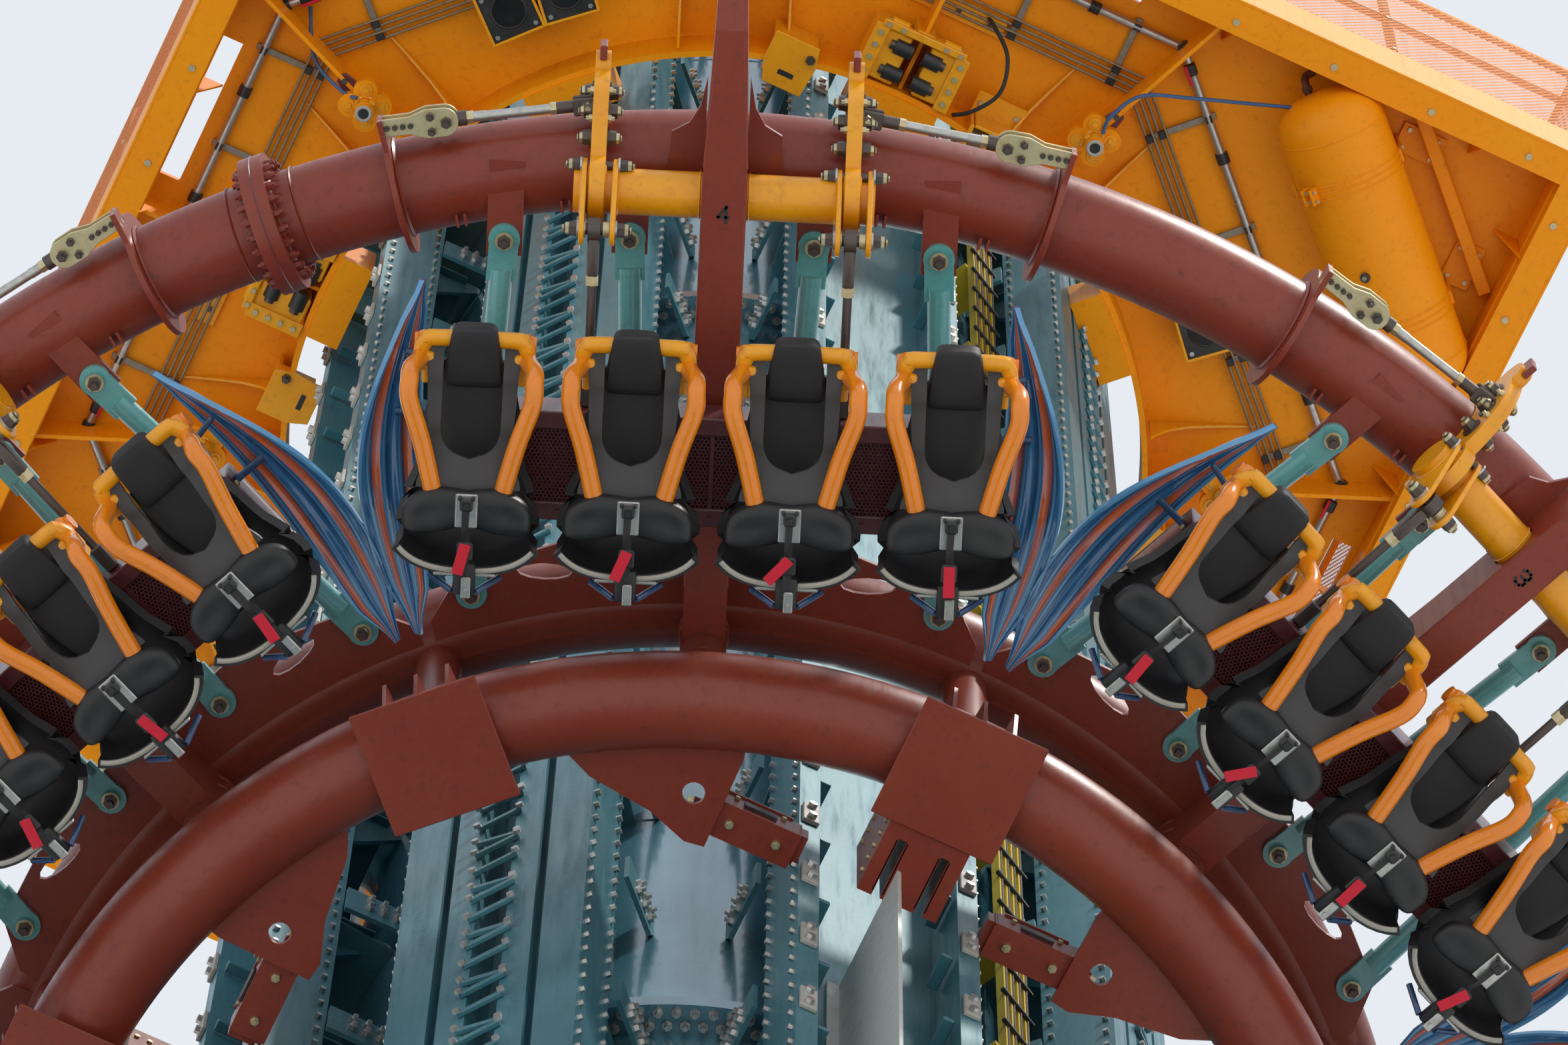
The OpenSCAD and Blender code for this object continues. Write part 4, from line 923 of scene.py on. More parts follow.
def makeRingFlanges():
    part = bmesh.new()
    azimuth = -ride["rowPitch"] / 2
    look = gondolaLook
    for side in (-1, 1):
        place = facing(polar(ride["ringR"], azimuth, 0), tangentAt(azimuth) * side)
        addBoltRing(part, place @ raised(look["flangeHalf"]), look["flangeReach"], look["flangeBolts"], 0.019,
                    0.024, 0, 0.014)
        addHoop(part, place @ raised(look["flangeHalf"] + 0.002), ride["tubeR"] + 0.004, 0.009, 0, 64)
        addHoop(part, place @ raised(look["flangeHalf"] + 0.085), ride["tubeR"] + 0.0005, 0.006, 0, 64)
    rim = facing(polar(ride["ringR"], azimuth, 0), tangentAt(azimuth))
    addHoop(part, rim, ride["tubeR"] + 0.0905, 0.003, 1, 72)
    makePiece("ringFlangeBolts", copiesOf(part, rowTurns[::2]), "gondola", ("rust", "maroon"))


def makeTieRods():
    part = bmesh.new()
    look = gondolaLook
    collar = ride["collarAz"]
    z = look["rodDrop"]
    end = polar(ride["ringR"] + 0.29, collar, z) - Vector((0.011, 0, 0))
    start = Vector((*look["rodStart"], z))
    along = (end - start).normalized()
    plate = Matrix.Translation(end) @ Matrix.Rotation(math.atan2(-along.y, -along.x), 4, "Z")
    outline = [(-0.02, -0.034), (0.10, -0.036), (0.165, -0.058), *arcPoints(0.235, 0, 0.058, -80, 80, 8),
               (0.165, 0.058), (0.10, 0.036), (-0.02, 0.034)]
    for low in (0.024, -0.036):
        addPlate(part, outline, 0.012, plate @ raised(low), 0, 0.002)
    for face, pointed in ((-0.036, below), (0.036, moved)):
        for x, y, size in ((0.245, 0, 0.024), (0.185, 0.03, 0.018), (0.185, -0.03, 0.018)):
            place = plate @ pointed(x, y, face)
            addBolt(part, place, size * 1.25, 0.005, 0)
            addBolt(part, place @ raised(0.005), size, 0.020, 1, 0.016)
        for k in range(4):
            addBolt(part, plate @ pointed(0.012 + 0.031 * k, 0, face), 0.0125, 0.014, 1, 0.008)
    addBox(part, (0.12, 0.05, 0.046), plate @ moved(0.245, 0, 0), 1, 0.01)
    reach = (end - start).length
    # eye, nut, thread, rod, nut and eye along the tie rod
    for a, b, size, slot, sides in ((0.29, 0.325, 0.030, 1, 20), (0.325, 0.352, 0.026, 0, 6),
                                    (0.352, 0.40, 0.021, 2, 20), (0.345, reach - 0.02, look["rodRadius"], 2, 24),
                                    (reach - 0.17, reach - 0.145, 0.026, 0, 6),
                                    (reach - 0.145, reach - 0.06, 0.024, 1, 20)):
        addRod(part, end - along * a, end - along * b, size, sides, slot)
    fork = facing(start + along * 0.035, along)
    for q, pointed in ((-1, below), (1, moved)):
        addBox(part, (0.07, 0.018, 0.10), fork @ moved(0, q * 0.026, -0.005), 1, 0.006)
        addBolt(part, pointed(*(start + along * 0.02 + Vector((0, 0, q * 0.035)))), 0.024, 0.022, 0, 0.02)
    makePiece("tieRods", copiesOf(part, mirroredTurns), "gondola", ("zinc", "darkSteel", "steel"))


def makeCrescentBolts():
    part = bmesh.new()
    look = gondolaLook
    def roundTube(angle, reach, q, off):  # on the side of a crescent plate, at an angle round the ring's tube
        angle = math.radians(angle)
        reach += ride["tubeR"]
        return facing((ride["leverT"] + q * off, -(ride["ringR"] + reach * math.cos(angle)),
                       reach * math.sin(angle)), (q, 0, 0))

    half = look["crescentHalf"]
    for q in (-1, 1):
        for angle in (-62, -38, -14):
            place = roundTube(angle, 0.085, q, half - 0.01)
            addRod(part, place.translation, place @ Vector((0, 0, 0.018)), 0.044, 16, 0)
            addBolt(part, place @ raised(0.018), 0.032, 0.028, 0, 0.018)
            addBolt(part, place @ raised(0.046), 0.022, 0.012, 1, 0.010)
        for angle in (-50, -26):
            addBolt(part, roundTube(angle, 0.135, q, half), 0.016, 0.014, 1, 0.012)
    addBox(part, (0.028, 0.06, 0.11), (ride["leverT"], -5.018, 0.005), 2, 0.004)
    addBox(part, (0.05, 0.12, 0.05), (ride["leverT"], -(ride["ringR"] - 0.17), -0.21), 3, 0.006)
    for q in (-1, 1):
        hub = (ride["leverT"] + q * 0.031, -ride["tiltR"], -ride["tiltDrop"])
        addHoop(part, facing(hub, (1, 0, 0)), 0.112, 0.005, 3)
    makePiece("crescentBolts", copiesOf(part, mirroredTurns), "gondola",
              ("darkSteel", "zinc", "rust", "yellow"))


# Plain row numbers painted on the arms, as strokes on a grid four wide and six high
digitStrokes = {
    1: [[(1, 5), (2, 6), (2, 0)]],
    2: [[(0, 5), (1, 6), (3, 6), (4, 5), (4, 4), (0, 0), (4, 0)]],
    3: [[(0, 5), (1, 6), (3, 6), (4, 5), (4, 4), (3, 3), (4, 2), (4, 1), (3, 0), (1, 0), (0, 1)], [(1, 3), (3, 3)]],
    4: [[(3, 0), (3, 6), (0, 2), (4, 2)]],
    5: [[(4, 6), (0, 6), (0, 3), (3, 3), (4, 2), (4, 1), (3, 0), (0, 0)]],
    6: [[(4, 5), (3, 6), (1, 6), (0, 5), (0, 1), (1, 0), (3, 0), (4, 1), (4, 2), (3, 3), (0, 3)]],
    7: [[(0, 6), (4, 6), (1, 0)]],
    8: [[(1, 3), (0, 4), (0, 5), (1, 6), (3, 6), (4, 5), (4, 4), (3, 3), (1, 3), (0, 2), (0, 1), (1, 0), (3, 0),
         (4, 1), (4, 2), (3, 3)]],
}
numberLook = {"unit": 0.0105, "stroke": 0.0115, "reach": 4.515, "lift": 0.0012}


def makeArmDetails():
    whole = bmesh.new()
    look = numberLook
    bottom = gondolaLook["armBottom"]
    for i in rowNumbers:
        part = bmesh.new()
        for stroke in digitStrokes[i]:
            points = [((x - 2) * look["unit"], (y - 3) * look["unit"]) for x, y in stroke]
            for (x0, y0), (x1, y1) in zip(points, points[1:]):
                span = math.hypot(x1 - x0, y1 - y0) + look["stroke"] * 0.8
                turn = math.atan2(y1 - y0, x1 - x0)
                # seen from below with the outer end of the arm up, so the strokes keep their sense
                place = (moved((x0 + x1) / 2, -look["reach"] - (y0 + y1) / 2, bottom - look["lift"])
                         @ Matrix.Rotation(-turn, 4, "Z"))
                addBox(part, (span, look["stroke"], 0.002), place, 1)
        joinInto(whole, part, rowTurns[4 - i])
    part = bmesh.new()
    for s in (-1, 1):
        # welds along the arm's lower corners, and a stiffener where the arm meets each ring
        addTube(part, [(s * 0.0835, -3.0, bottom + 0.003), (s * 0.0835, -4.68, bottom + 0.003)], 0.005, 6, 0)
        addTube(part, [(s * 0.0835, -4.70, bottom + 0.003), (s * 0.049, -5.24, bottom + 0.003)], 0.005, 6, 0)
        addTube(part, [(s * 0.088, -4.43, -0.192), (s * 0.088, -4.77, -0.192)], 0.008, 6, 0)
    addHoop(part, moved(0, -2.72, -0.30), 0.094, 0.007, 0)
    for z in (-0.205, -0.70):
        addHoop(part, moved(0, -2.72, z), 0.093, 0.008, 0)
    for k in range(6):
        addBolt(part, facing((0, -5.5505, -0.345 - 0.014 * k), (0, -1, 0)), 0.005, 0.003, 0)
    joinInto(whole, copiesOf(part, rowTurns))
    makePiece("armDetails", whole, "gondola", ("rust", "lamp"))


def makeStrutBolts():
    part = bmesh.new()
    low = -0.2323
    for s in (-1, 1):
        for x, y in ((0.850, -4.290), (0.925, -2.830), (0.360, -4.320), (0.300, -2.990)):
            place = below(s * x, y, low)
            addRod(part, (s * x, y, low + 0.0005), (s * x, y, low - 0.006), 0.036, 24, 1)
            addBolt(part, place @ raised(0.006), 0.029, 0.026, 0, 0.018)
            top = moved(s * x, y, -0.16)
            addBolt(part, top, 0.03, 0.022, 0, 0.012)
    makePiece("strutBolts", copiesOf(part, rowTurns), "gondola", ("darkSteel", "zinc"))


def makeBrakeDetails():
    part = bmesh.new()
    cover = -1.106
    middle = -ride["lowerR"]
    addBox(part, (0.52, 0.52, 0.010), (0, middle, cover - 0.006), 0, 0.004)
    for s in (-1, 1):
        addBox(part, (0.016, 0.40, 0.05), (s * 0.192, middle, cover + 0.035), 0, 0.003)
        addTube(part, [(s * 0.130, middle + y, cover + 0.02) for y in (-0.2, 0.2)], 0.007, 6, 0)
    boxes = copiesOf(part, turns(8, 22.5, ride["ringZ"]))
    lining = bmesh.new()
    for s in (-1, 1):
        for q in (-1, 1):
            # brass linings on both sides of each fin's slot
            addBox(lining, (0.009, 0.235, 0.47), (s * 0.09 + q * 0.0225, -2.218, -0.865), 1, 0.002)
        for k in range(6):
            for z in (-0.70, -1.02):
                addBolt(lining, facing((s * 0.170, -2.14 - 0.055 * k, z), (s, 0, 0)), 0.012, 0.010, 2)
        # sprung guide shoe: cover, a black sheet painted as the shade in its slot, spring bolt and brass tip
        shoe = -ride["lowerDrop"]
        addBox(lining, (0.28, 0.165, 0.018), (s * 0.60, -2.04, shoe + 0.150), 0, 0.003)
        # black sheet in lamp black: painted shade standing for the dark inside of the shoe's slot
        addBox(lining, (0.14, 0.012, 0.05), (s * 0.60, -2.1195, shoe + 0.075), 3, 0.003)
        addBox(lining, (0.012, 0.14, 0.10), (s * 0.4265, -2.045, shoe + 0.075), 1, 0.002)
        for x in (0.50, 0.70):
            addBolt(lining, below(s * x, -2.04, shoe + 0.011), 0.02, 0.018, 2, 0.014)
            addBolt(lining, facing((s * x, -2.1155, shoe + 0.11), (0, -1, 0)), 0.012, 0.01, 2)
        addRod(lining, (s * 0.76, -2.04, shoe + 0.07), (s * 0.86, -2.04, shoe + 0.07), 0.028, 20, 0)
        addRod(lining, (s * 0.86, -2.04, shoe + 0.07), (s * 0.885, -2.04, shoe + 0.07), 0.022, 6, 2)
    joinInto(boxes, copiesOf(lining, turns(4, 22.5, ride["ringZ"])))
    makePiece("brakeLinings", boxes, "gondola", ("rust", "brass", "zinc", "lamp"))


makeRowFrames()
makeRingWelds()
makeRingFlanges()
makeTieRods()
makeCrescentBolts()
makeArmDetails()
makeStrutBolts()
makeBrakeDetails()
print("gondola dressed")


# Tower: flange studs, plate seams, column bolts, steps and brackets

towerLook = {"studs": 140, "studPitch": 0.15, "boltTop": 29.3, "stepPitch": 0.525, "bracketPitch": 1.4,
             "brackets": 20, "clampPitch": 0.70, "clamps": 40, "clipPitch": 0.35, "clips": 80}


def makeShaftStuds():
    part = bmesh.new()
    group = 5  # studs drawn before they are repeated round the flange
    for pointed, low in ((moved, 0.045), (below, -0.045)):
        for reach, shift in ((1.537, 0), (1.590, 0.5)):
            for k in range(group):
                spot = polar(reach, 360 / towerLook["studs"] * (k + shift), low)
                addBolt(part, pointed(*spot), 0.0235, 0.020, 0, 0.030)
    ring = copiesOf(part, turns(towerLook["studs"] // group))
    bay = ride["bayHeight"]
    studs = copiesOf(ring, lifts(ride["baseT"] + bay, bay, ride["bays"] - 1))
    anchors = bmesh.new()
    spot = Vector((0, -ride["anchorR"], ride["baseT"]))
    addBolt(anchors, moved(*spot), 0.055, 0.05, 0, 0.09)
    addRod(anchors, spot, spot + Vector((0, 0, 0.008)), 0.075, 24, 0)
    joinInto(studs, copiesOf(anchors, turns(16, 11.25)))
    makePiece("flangeStuds", studs, "tower", ("steel",))


def makeShaftSeams():
    bm = bmesh.new()
    seams = [2.45, 4.9, 7.35]
    shaftR = ride["shaftR"]
    for k in range(ride["bays"]):
        foot = ride["baseT"] + k * ride["bayHeight"]
        for z in seams:
            addHoop(bm, raised(foot + z), shaftR, 0.005, 0, 96)
        for n, z in enumerate([0] + seams):
            azimuth = 14 + 97 * n + 41 * k  # so that no seam stands above another
            low = foot + z + (0.01 if n else 0.06)
            addTube(bm, [polar(shaftR, azimuth, low), polar(shaftR, azimuth, low + 2.35)], 0.005, 6, 0)
    makePiece("shaftSeams", bm, "tower", ("shaft",))


def makeColumnBolts():
    look = towerLook
    part = bmesh.new()
    for s in (-1, 1):
        for y in (-(ride["railFace"] - 0.035), -(ride["railFace"] - ride["railDepth"] + 0.035)):
            addBolt(part, facing((s * ride["railHalf"], y, 0), (s, 0, 0)), 0.0145, 0.018, 0)
    pitch = look["studPitch"]
    dozens = int((look["boltTop"] - 0.5) / pitch) // 12
    column = copiesOf(copiesOf(part, lifts(0, pitch, 12)), lifts(0.4, 12 * pitch, dozens))
    makePiece("columnBolts", copiesOf(column, turns(8, 22.5)), "tower", ("steel",))


def makeSteps():
    look = towerLook
    part = bmesh.new()
    face = -ride["railFace"]
    for z, rise in ((0.0, 0.085), (0.13, -0.02), (0.315, 0.085)):
        slope = Matrix.Rotation(-math.atan2(rise, 0.176), 4, "Y")
        addBox(part, (math.hypot(0.176, rise), 0.020, 0.030), moved(0, face - 0.012, z + rise / 2) @ slope, 0,
               0.003)
        for x, end in ((-0.088, z), (0.088, z + rise)):
            addBolt(part, facing((x, face - 0.022, end), (0, -1, 0)), 0.017, 0.016, 1)
    count = int((look["boltTop"] - 1) / look["stepPitch"])
    column = copiesOf(part, lifts(0.8, look["stepPitch"], count))
    makePiece("columnSteps", copiesOf(column, turns(4, -22.5)), "tower", ("rails", "steel"))


def makeColumnBrackets():
    look = towerLook
    part = bmesh.new()
    shaftR = ride["shaftR"]
    back = -(ride["railFace"] - ride["railDepth"])
    for s in (-1, 1):
        x = s * 0.27
        start = -math.sqrt(shaftR ** 2 - x ** 2) + 0.004
        outline = [(back + 0.001, 0), (back + 0.001, -0.42), (start, -0.10), (start, 0)]
        addPlate(part, outline, 0.018, sidePlane(x - 0.009), 0)
        # side ears with a cluster of bolts on the shaft
        ear = [(back - 0.004, 0.0), (back - 0.004, -0.24), (-1.46, -0.24), (-1.36, 0.0)]
        addPlate(part, ear, 0.02, sidePlane(s * 0.43 - 0.01), 0)
        for j in range(3):
            for k in range(2):
                addBolt(part, facing((s * 0.44, -1.50 - 0.06 * j, -0.07 - 0.08 * k), (s, 0, 0)), 0.022, 0.018,
                        1, 0.016)
    addBox(part, (0.62, 0.16, 0.02), (0, back + 0.10, -0.012), 0, 0.003)
    column = copiesOf(part, lifts(1.3, look["bracketPitch"], look["brackets"]))
    makePiece("columnBrackets", copiesOf(column, turns(8, 22.5)), "tower", ("rails", "steel"))


def makeFinClamps():
    part = bmesh.new()
    face = -ride["railFace"]
    for s in (-1, 1):
        x = s * 0.345
        addBox(part, (0.07, 0.018, 0.20), (x, face - 0.010, 0), 1, 0.003)
        for z in (-0.06, 0.06):
            addBolt(part, facing((x, face - 0.019, z), (0, -1, 0)), 0.020, 0.020, 2)
        addBox(part, (0.05, 0.15, 0.025), (s * 0.265, face + 0.10, -0.13), 0, 0.004)
    column = copiesOf(part, lifts(1.2, towerLook["clampPitch"], towerLook["clamps"]))
    makePiece("finClamps", copiesOf(column, turns(4, 22.5)), "tower", ("rails", "piping", "steel"))


def makeBarClips():
    part = bmesh.new()
    inner = ride["shaftR"] + 0.195
    addBox(part, (0.21, 0.020, 0.022), (0, -inner - 0.045, 0), 0, 0.003)
    for k in range(4):
        addBox(part, (0.008, 0.012, 0.34), ((k - 1.5) * 0.046, -inner - 0.0405, 0.17), 1)
    column = copiesOf(part, lifts(0.8, towerLook["clipPitch"], towerLook["clips"]))
    makePiece("barClips", copiesOf(column, [turned(50)]), "tower", ("lamp", "darkSteel"))


makeShaftStuds()
makeShaftSeams()
makeColumnBolts()
makeSteps()
makeColumnBrackets()
makeFinClamps()
makeBarClips()
print("tower dressed")


# Catch car, drawn up from its underside: skirt, air tanks, pipes, calipers, wheel boxes, lamps and couplers

carLook = {"deckLow": 0.378, "skirtLow": 0.422, "skirtTop": 1.885, "panels": 6, "mainReach": 2.99, "thinReach": 2.76,
           "pipeDrop": 0.045, "tankReach": 3.58, "tankRadius": 0.278, "tankHalf": 0.85, "tankZ": 0.095}
edgeTurns = turns(4, ride["carAz"], carZ)
cornerTurns = turns(4, ride["carAz"] + 45, carZ)


def makeSkirt():
    part = bmesh.new()
    look = carLook
    half = ride["carHalf"]
    low = look["skirtLow"]
    top = look["skirtTop"]
    reach = 2 * half - 0.10
    width = reach / look["panels"]
    for k in range(look["panels"]):
        x = -reach / 2 + width * k
        addMeshPanel(part, (x, -half + 0.010, low + 0.05), (width, 0, 0), (0, 0, top - low - 0.11), 1)
    for k in range(look["panels"] + 1):
        x = -reach / 2 + width * k
        addBox(part, (0.05, 0.028, top - low - 0.02), (x, -half + 0.028, (low + top) / 2), 0, 0.003)
        for z in (low + 0.10, (low + top) / 2, top - 0.10):
            addBolt(part, facing((x, -half + 0.013, z), (0, -1, 0)), 0.013, 0.009, 2)
    for z, height in ((low + 0.027, 0.054), ((low + top) / 2, 0.04), (top - 0.03, 0.06)):
        addBox(part, (2 * half - 0.02, 0.032, height), (0, -half + 0.026, z), 0, 0.003)
    makePiece("skirtPanels", copiesOf(part, edgeTurns), "catch_car", ("skirt", "skirtMesh", "zinc"),
              ["car_skirt"])


def makeTanks():
    part = bmesh.new()
    look = carLook
    radius = look["tankRadius"]
    half = look["tankHalf"]
    centre = Vector((0, -look["tankReach"], look["tankZ"]))
    dome = 0.20

    def skin(u, v):  # cylinder with flattened domes, u along it and v round it
        along = (2 * u - 1) * half
        over = max(abs(along) - (half - dome), 0) / dome
        size = radius * max(1 - over ** 2.3, 0) ** (1 / 2.1)
        angle = 2 * math.pi * v
        return centre + Vector((along, size * math.cos(angle), size * math.sin(angle)))

    addSheet(part, 64, 40, skin, 0, 1e-4)
    for s in (-1, 1):
        # weld seam, strap with its clamp, and saddle up to the deck
        addHoop(part, facing(centre + Vector((s * (half - dome), 0, 0)), (1, 0, 0)), radius, 0.005, 0, 64)
        x = s * 0.40
        for off in (-0.035, 0, 0.035):
            addHoop(part, facing(centre + Vector((x + off, 0, 0)), (1, 0, 0)), radius + 0.001, 0.0045, 0, 64)
        clamp = centre + Vector((x, radius * 0.72, -radius * 0.72))
        tilt = facing(clamp, (0, 1, -1))
        for q in (-1, 1):
            addBox(part, (0.085, 0.016, 0.055), tilt @ moved(0, q * 0.028, 0.018), 0, 0.003)
            bolt = [tilt @ Vector((q * 0.025, y, 0.028)) for y in (-0.055, 0.055)]
            addRod(part, *bolt, 0.008, 8, 2)
            addBox(part, (0.07, 0.016, 0.30), centre + Vector((x, q * (radius + 0.004), 0.128)), 0, 0.003)
    port = centre + Vector((0.08, radius * 0.30, -radius * 0.945))
    rim = port + Vector((0, 0.006, -0.016))
    addRod(part, port, rim, 0.026, 24, 1)
    addRod(part, rim, port + Vector((0, 0.01, -0.024)), 0.013, 6, 2)
    end = centre - Vector((half, 0, 0))
    elbow = [end + Vector(knot) for knot in ((0.05, 0.06, 0.10), (-0.02, 0.06, 0.115), (-0.055, 0.05, 0.16),
                                             (-0.06, 0.0, 0.18))]
    addTube(part, smoothPath(elbow, 5), 0.021, 12, 3)
    addRod(part, end + Vector((0.01, 0.06, 0.105)), end + Vector((-0.015, 0.06, 0.112)), 0.031, 6, 3)
    makePiece("airTanks", copiesOf(part, cornerTurns), "catch_car",
              ("amber", "darkSteel", "zinc", "pipeBrown"), ["air_tanks"])


def makeRingPipes():
    part = bmesh.new()
    look = carLook
    z = look["deckLow"] - look["pipeDrop"]
    corner = math.tan(math.radians(22.5))
    main = look["mainReach"]
    addRod(part, (-main * corner, -main, z), (main * corner, -main, z), 0.024, 16, 0)
    for x in (-main * corner, -0.62, 0.12, 0.74):
        addRod(part, (x - 0.028, -main, z), (x + 0.028, -main, z), 0.034, 12, 1)
    for k in range(4):
        reach = look["thinReach"] - 0.034 * k
        addRod(part, (-reach * corner, -reach, z + 0.012), (reach * corner, -reach, z + 0.012), 0.008, 8, 2)
    for x in (-0.84, -0.22, 0.42, 0.98):
        addBox(part, (0.035, 0.37, 0.020), (x, -main + 0.145, z + 0.032), 3, 0.003)
        for y in (-main, -look["thinReach"] + 0.02, -look["thinReach"] + 0.09):
            addBox(part, (0.045, 0.035, 0.022), (x, y, z - 0.012 + (0.016 if y > -main else 0)), 1, 0.004)
    # a valve with its red handle on every second side
    addBox(part, (0.07, 0.06, 0.06), (-1.12, -main, z - 0.005), 1, 0.01)
    addBox(part, (0.11, 0.016, 0.012), (-1.10, -main + 0.02, z - 0.052), 4, 0.003)
    makePiece("ringPipes", copiesOf(part, turns(8, ride["carAz"], carZ)), "catch_car",
              ("steel", "lamp", "thinPipe", "galvanised", "tag"))


def makeEdgeDetails():
    part = bmesh.new()
    half = ride["carHalf"]
    for k in range(12):
        x = (k - 5.5) * 0.55
        addBolt(part, below(x, -3.30, 0), 0.021, 0.008, 1)
    # flange lip along the outer edge and weld seams along the inner one
    addBox(part, (2 * half - 0.01, 0.014, 0.03), (0, -half + 0.007, 0.012), 0, 0.002)
    addBox(part, (2 * 3.235 - 0.02, 0.012, 0.03), (0, -3.229, 0.10), 0, 0.002)
    for k in range(9):
        x = (k - 4) * 0.70
        outline = [(-3.234, 0.02), (-3.234, 0.376), (-3.10, 0.376)]
        addPlate(part, outline, 0.012, sidePlane(x), 0, 0.002)
    corner = bmesh.new()
    for s in (-1, 1):
        # brace between the two edges of a corner, with a bolted foot on each beam
        foot = moved(s * 0.34, -3.96, 0.368) @ turned(45 * s)
        addBox(corner, (0.24, 0.16, 0.012), foot, 0, 0.003)
        for x in (-0.08, 0.08):
            for y in (-0.05, 0.05):
                addBolt(corner, foot @ below(x, y, -0.006), 0.014, 0.010, 1)
    addBox(corner, (1.02, 0.07, 0.07), (0, -4.02, 0.33), 0, 0.006)
    whole = copiesOf(part, edgeTurns)
    joinInto(whole, copiesOf(corner, cornerTurns))
    makePiece("edgeFittings", whole, "catch_car", ("amber", "zinc"))


def makeCalipers():
    part = bmesh.new()
    # block over each brake column with bolted strips, a gap for the fins and rollers in it
    for s in (-1, 1):
        addBox(part, (0.20, 0.27, 0.30), (s * 0.155, -2.375, 0.205), 0, 0.008)
        addBox(part, (0.075, 0.30, 0.022), (s * 0.222, -2.375, 0.046), 0, 0.004)
        for k in range(4):
            addBolt(part, below(s * 0.222, -2.27 - 0.07 * k, 0.035), 0.017, 0.013, 1)
        for y in (-2.30, -2.44):
            addRod(part, (s * 0.030, y, 0.06), (s * 0.125, y, 0.06), 0.042, 24, 2)
            addRod(part, (s * 0.125, y, 0.06), (s * 0.150, y, 0.06), 0.026, 16, 3)
        addRod(part, (s * 0.10, -2.53, 0.09), (s * 0.19, -2.53, 0.09), 0.040, 24, 0)
        addRod(part, (s * 0.19, -2.53, 0.09), (s * 0.205, -2.53, 0.09), 0.030, 6, 1)
    addBox(part, (0.10, 0.05, 0.28), (0, -2.53, 0.23), 0, 0.005)
    addBox(part, (0.46, 0.04, 0.05), (0, -2.535, 0.055), 0, 0.005)
    for x in (-0.20, -0.12, 0.12, 0.20):
        addBolt(part, below(x, -2.535, 0.03), 0.015, 0.012, 1)
    # long bolted plate beside the block
    addBox(part, (0.86, 0.11, 0.018), (-0.05, -2.68, 0.362), 0, 0.003)
    for k in range(5):
        addBolt(part, below(-0.40 + 0.175 * k, -2.68, 0.353), 0.016, 0.012, 3)
    # slotted bracket on one side of the column, its slot a black patch of painted shade under the plate, wheel box on
    # the other
    slotted = [(-0.70, -2.26), (-0.46, -2.26), (-0.435, -2.16), (-0.45, -1.99), (-0.66, -1.99), (-0.70, -2.10)]
    addPlate(part, slotted, 0.022, raised(0.045), 0, 0.003)
    addBox(part, (0.24, 0.022, 0.30), (-0.58, -2.235, 0.21), 0, 0.004)
    for s in (-1, 1):
        addBox(part, (0.016, 0.20, 0.10), (-0.57 + s * 0.11, -2.14, 0.115), 0, 0.003)
    # thin black patch under the bracket: painted shade where its slot is, the plate itself being whole
    addBox(part, (0.085, 0.026, 0.004), (-0.565, -2.07, 0.0435), 2, 0.001)
    addBolt(part, below(-0.48, -2.19, 0.045), 0.026, 0.022, 3, 0.02)
    for x in (0.41, 0.645):
        addBox(part, (0.022, 0.20, 0.24), (x, -2.135, 0.16), 0, 0.004)
    for y in (-2.235, -2.045):
        addBox(part, (0.21, 0.018, 0.24), (0.5275, y, 0.16), 0, 0.004)
    addRod(part, (0.425, -2.14, 0.15), (0.63, -2.14, 0.15), 0.088, 32, 4)
    addBox(part, (0.27, 0.30, 0.014), (0.5275, -2.21, 0.287), 0, 0.003)
    for s in (-1, 1):
        addBolt(part, below(0.5275 + s * 0.10, -2.30, 0.28), 0.016, 0.012, 1)
    makePiece("calipers", copiesOf(part, edgeTurns), "catch_car",
              ("yellow", "zinc", "lamp", "darkSteel", "tyre"))


def makeLampFrames():
    part = bmesh.new()
    for s in (-1, 1):
        place = turned(-ride["carAz"] + 3.3 * s) @ moved(0, -2.63, 0.12)
        for q in (-1, 1):
            addBox(part, (0.014, 0.288, 0.05), place @ moved(q * 0.138, 0, 0.016), 0, 0.003)
            addBox(part, (0.262, 0.014, 0.05), place @ moved(0, q * 0.138, 0.016), 0, 0.003)
        addHoop(part, place @ raised(-0.001), 0.088, 0.007, 1)
        addRod(part, place @ Vector((0, 0, 0)), place @ Vector((0, 0, -0.004)), 0.080, 48, 2)
        for a in (-1, 1):
            for b in (-1, 1):
                addBolt(part, place @ below(a * 0.105, b * 0.105, 0), 0.014, 0.010, 3)
    makePiece("lampFrames", copiesOf(part, turns(4, 0, carZ)), "catch_car",
              ("yellow", "lamp", "glassDark", "steel"))


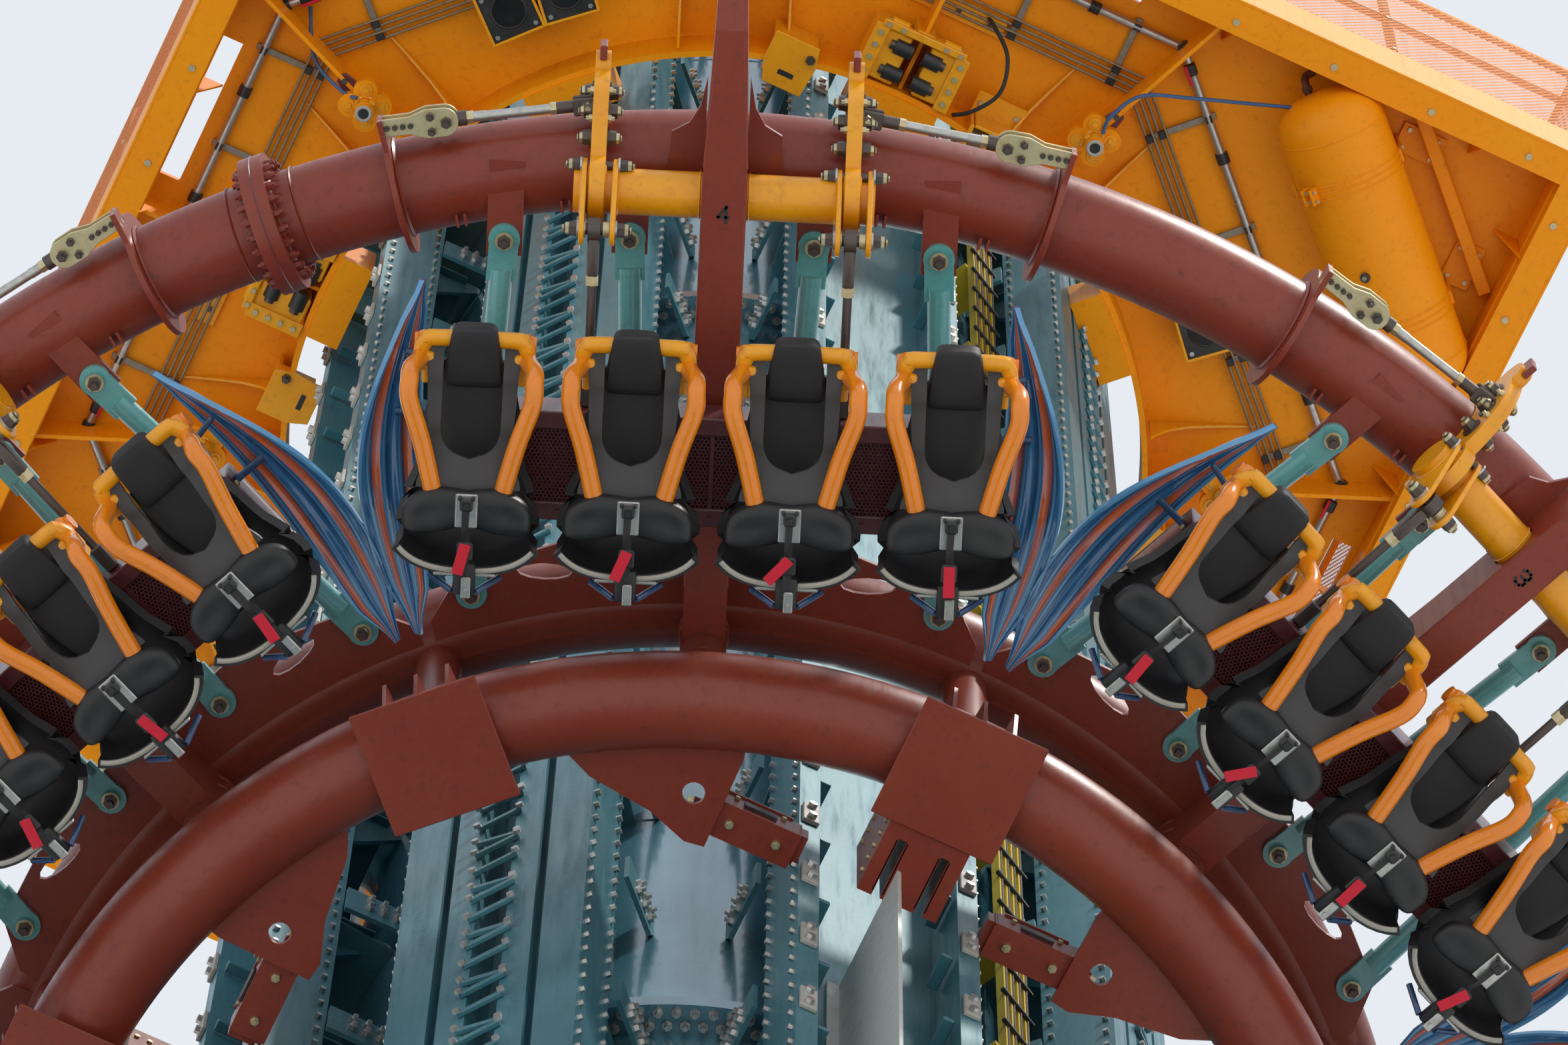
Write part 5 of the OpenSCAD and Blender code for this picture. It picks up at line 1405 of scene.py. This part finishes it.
def makeCouplers():
    part = bmesh.new()
    for turn in turns(4, 45):
        lobe = moved(0, -2.62, 0.0605) @ turn
        addRod(part, lobe @ Vector((0.085, 0, 0)), lobe @ Vector((0.085, 0, -0.008)), 0.034, 20, 0)
        addBolt(part, lobe @ below(0.085, 0, -0.008), 0.018, 0.012, 0)
    addHoop(part, moved(0, -2.62, 0.058), 0.048, 0.009, 0)
    addRod(part, (0, -2.62, 0.03), (0, -2.62, -0.045), 0.0475, 24, 0)
    for s in (-1, 1):
        addBox(part, (0.02, 0.03, 0.06), (s * 0.054, -2.62, -0.010), 0, 0.005)
    addHoop(part, moved(0, -2.62, -0.0905), 0.035, 0.009, 1, 36, 10)
    addRod(part, (0, -2.62, -0.0905), (0, -2.62, -0.094), 0.028, 24, 2)
    # small maroon tab behind the plate, and tapered webs beside it
    addPlate(part, [(-0.05, -2.70), (0.05, -2.70), (0.032, -2.80), (0, -2.815), (-0.032, -2.80)], 0.018,
             raised(0.125), 3, 0.003)
    addBolt(part, below(0, -2.775, 0.125), 0.017, 0.014, 4)
    for x in (-0.28, 0.28):
        curve = [(-2.232, 0.07), (-2.27, 0.15), (-2.34, 0.24), (-2.45, 0.31), (-2.62, 0.35), (-2.80, 0.376),
                 (-2.232, 0.376)]
        addPlate(part, curve, 0.014, sidePlane(x - 0.007), 0, 0.002)
    makePiece("couplerPistons", copiesOf(part, turns(8, 0, carZ)), "catch_car",
              ("yellow", "piping", "lamp", "maroon", "darkSteel"))


# Hoses of the catch car as free lengths of real size: name, points, radius and paint
hoses = [
    ("couplerHoseLeft", [(-1.895, -1.895, 0.05), (-1.98, -1.92, 0.10), (-2.12, -2.05, 0.20), (-2.16, -2.28, 0.362)],
     0.010, "hoseBlue"),
    ("couplerHoseRight", [(1.895, -1.895, 0.05), (1.93, -1.99, 0.03), (2.08, -2.10, 0.05), (2.34, -2.09, 0.09),
                          (2.60, -2.07, 0.12), (3.03, -2.05, 0.12)], 0.010, "hoseBlue"),
    ("caliperHose", [(1.128, -1.940, 0.1), (1.231, -1.980, 0.05), (1.363, -2.087, 0.04),
                     (1.391, -2.260, 0.1), (1.320, -2.376, 0.25), (1.292, -2.387, 0.362)], 0.011, "belt"),
]


def makeHoses():
    for name, points, radius, paint in hoses:
        path = smoothPath([Vector((x, y, carZ + z)) for x, y, z in points], 10)
        bm = bmesh.new()
        addTube(bm, path, radius, 12, 0)
        hose = makePiece(name, bm, "catch_car", (paint,))


makeSkirt()
makeTanks()
makeRingPipes()
makeEdgeDetails()
makeCalipers()
makeLampFrames()
makeCouplers()
makeHoses()
print("catch car dressed")


# Camera, floor and light

cameraFit = {"lens": 217.47, "place": (0.0337, -14.459, -24.488), "turn": -1.329, "pitch": 72.415, "roll": 1.416}


def makeCamera():
    data = bpy.data.cameras.new("camera")
    data.lens = cameraFit["lens"]
    data.sensor_width = 36
    data.clip_start = 0.5
    data.clip_end = 400
    camera = linkObject("camera", data)
    camera.matrix_world = (moved(*cameraFit["place"]) @ turned(cameraFit["turn"])
                           @ Matrix.Rotation(math.radians(90 + cameraFit["pitch"]), 4, "X")
                           @ turned(cameraFit["roll"]))
    bpy.context.scene.camera = camera


def makeFloor():
    bm = bmesh.new()
    bmesh.ops.create_grid(bm, x_segments=1, y_segments=1, size=90)
    mesh = bpy.data.meshes.new("floor")
    bm.to_mesh(mesh)
    bm.free()
    material = bpy.data.materials.new("paleFloor")
    material.use_nodes = True
    tree = material.node_tree
    surface = tree.nodes["Principled BSDF"]
    surface.inputs["Base Color"].default_value = (0.68, 0.67, 0.65, 1)
    surface.inputs["Roughness"].default_value = 0.9
    # seen through from below, where the camera stands
    mix = addNode(tree, "ShaderNodeMixShader", {
        0: addNode(tree, "ShaderNodeNewGeometry").outputs["Backfacing"], 1: surface.outputs["BSDF"],
        2: addNode(tree, "ShaderNodeBsdfTransparent").outputs["BSDF"]})
    tree.links.new(mix.outputs["Shader"], tree.nodes["Material Output"].inputs["Surface"])
    mesh.materials.append(material)
    floor = linkObject("floor", mesh)
    floor.location.z = -0.002


def makeLight():
    world = bpy.data.worlds.new("studio")
    bpy.context.scene.world = world
    world.use_nodes = True
    tree = world.node_tree
    back = tree.nodes["Background"]
    rays = addNode(tree, "ShaderNodeLightPath").outputs
    seen = reckoner(tree)("MAXIMUM", rays["Is Camera Ray"], rays["Is Transmission Ray"])
    tree.links.new(mixColours(tree, seen, (0.70, 0.76, 0.83, 1), (0.80, 0.84, 0.89, 1)), back.inputs["Color"])
    back.inputs["Strength"].default_value = 1.0
    sun = bpy.data.lights.new("sun", "SUN")
    sun.energy = 2.75
    sun.angle = math.radians(6)
    sun.color = (1.0, 0.95, 0.88)
    linkObject("sun", sun).rotation_euler = Vector((-0.45, 0.5, -0.78)).to_track_quat("-Z", "Y").to_euler()


makeCamera()
makeFloor()
makeLight()
bpy.context.scene.view_settings.view_transform = "Standard"
print("camera, floor and light set")
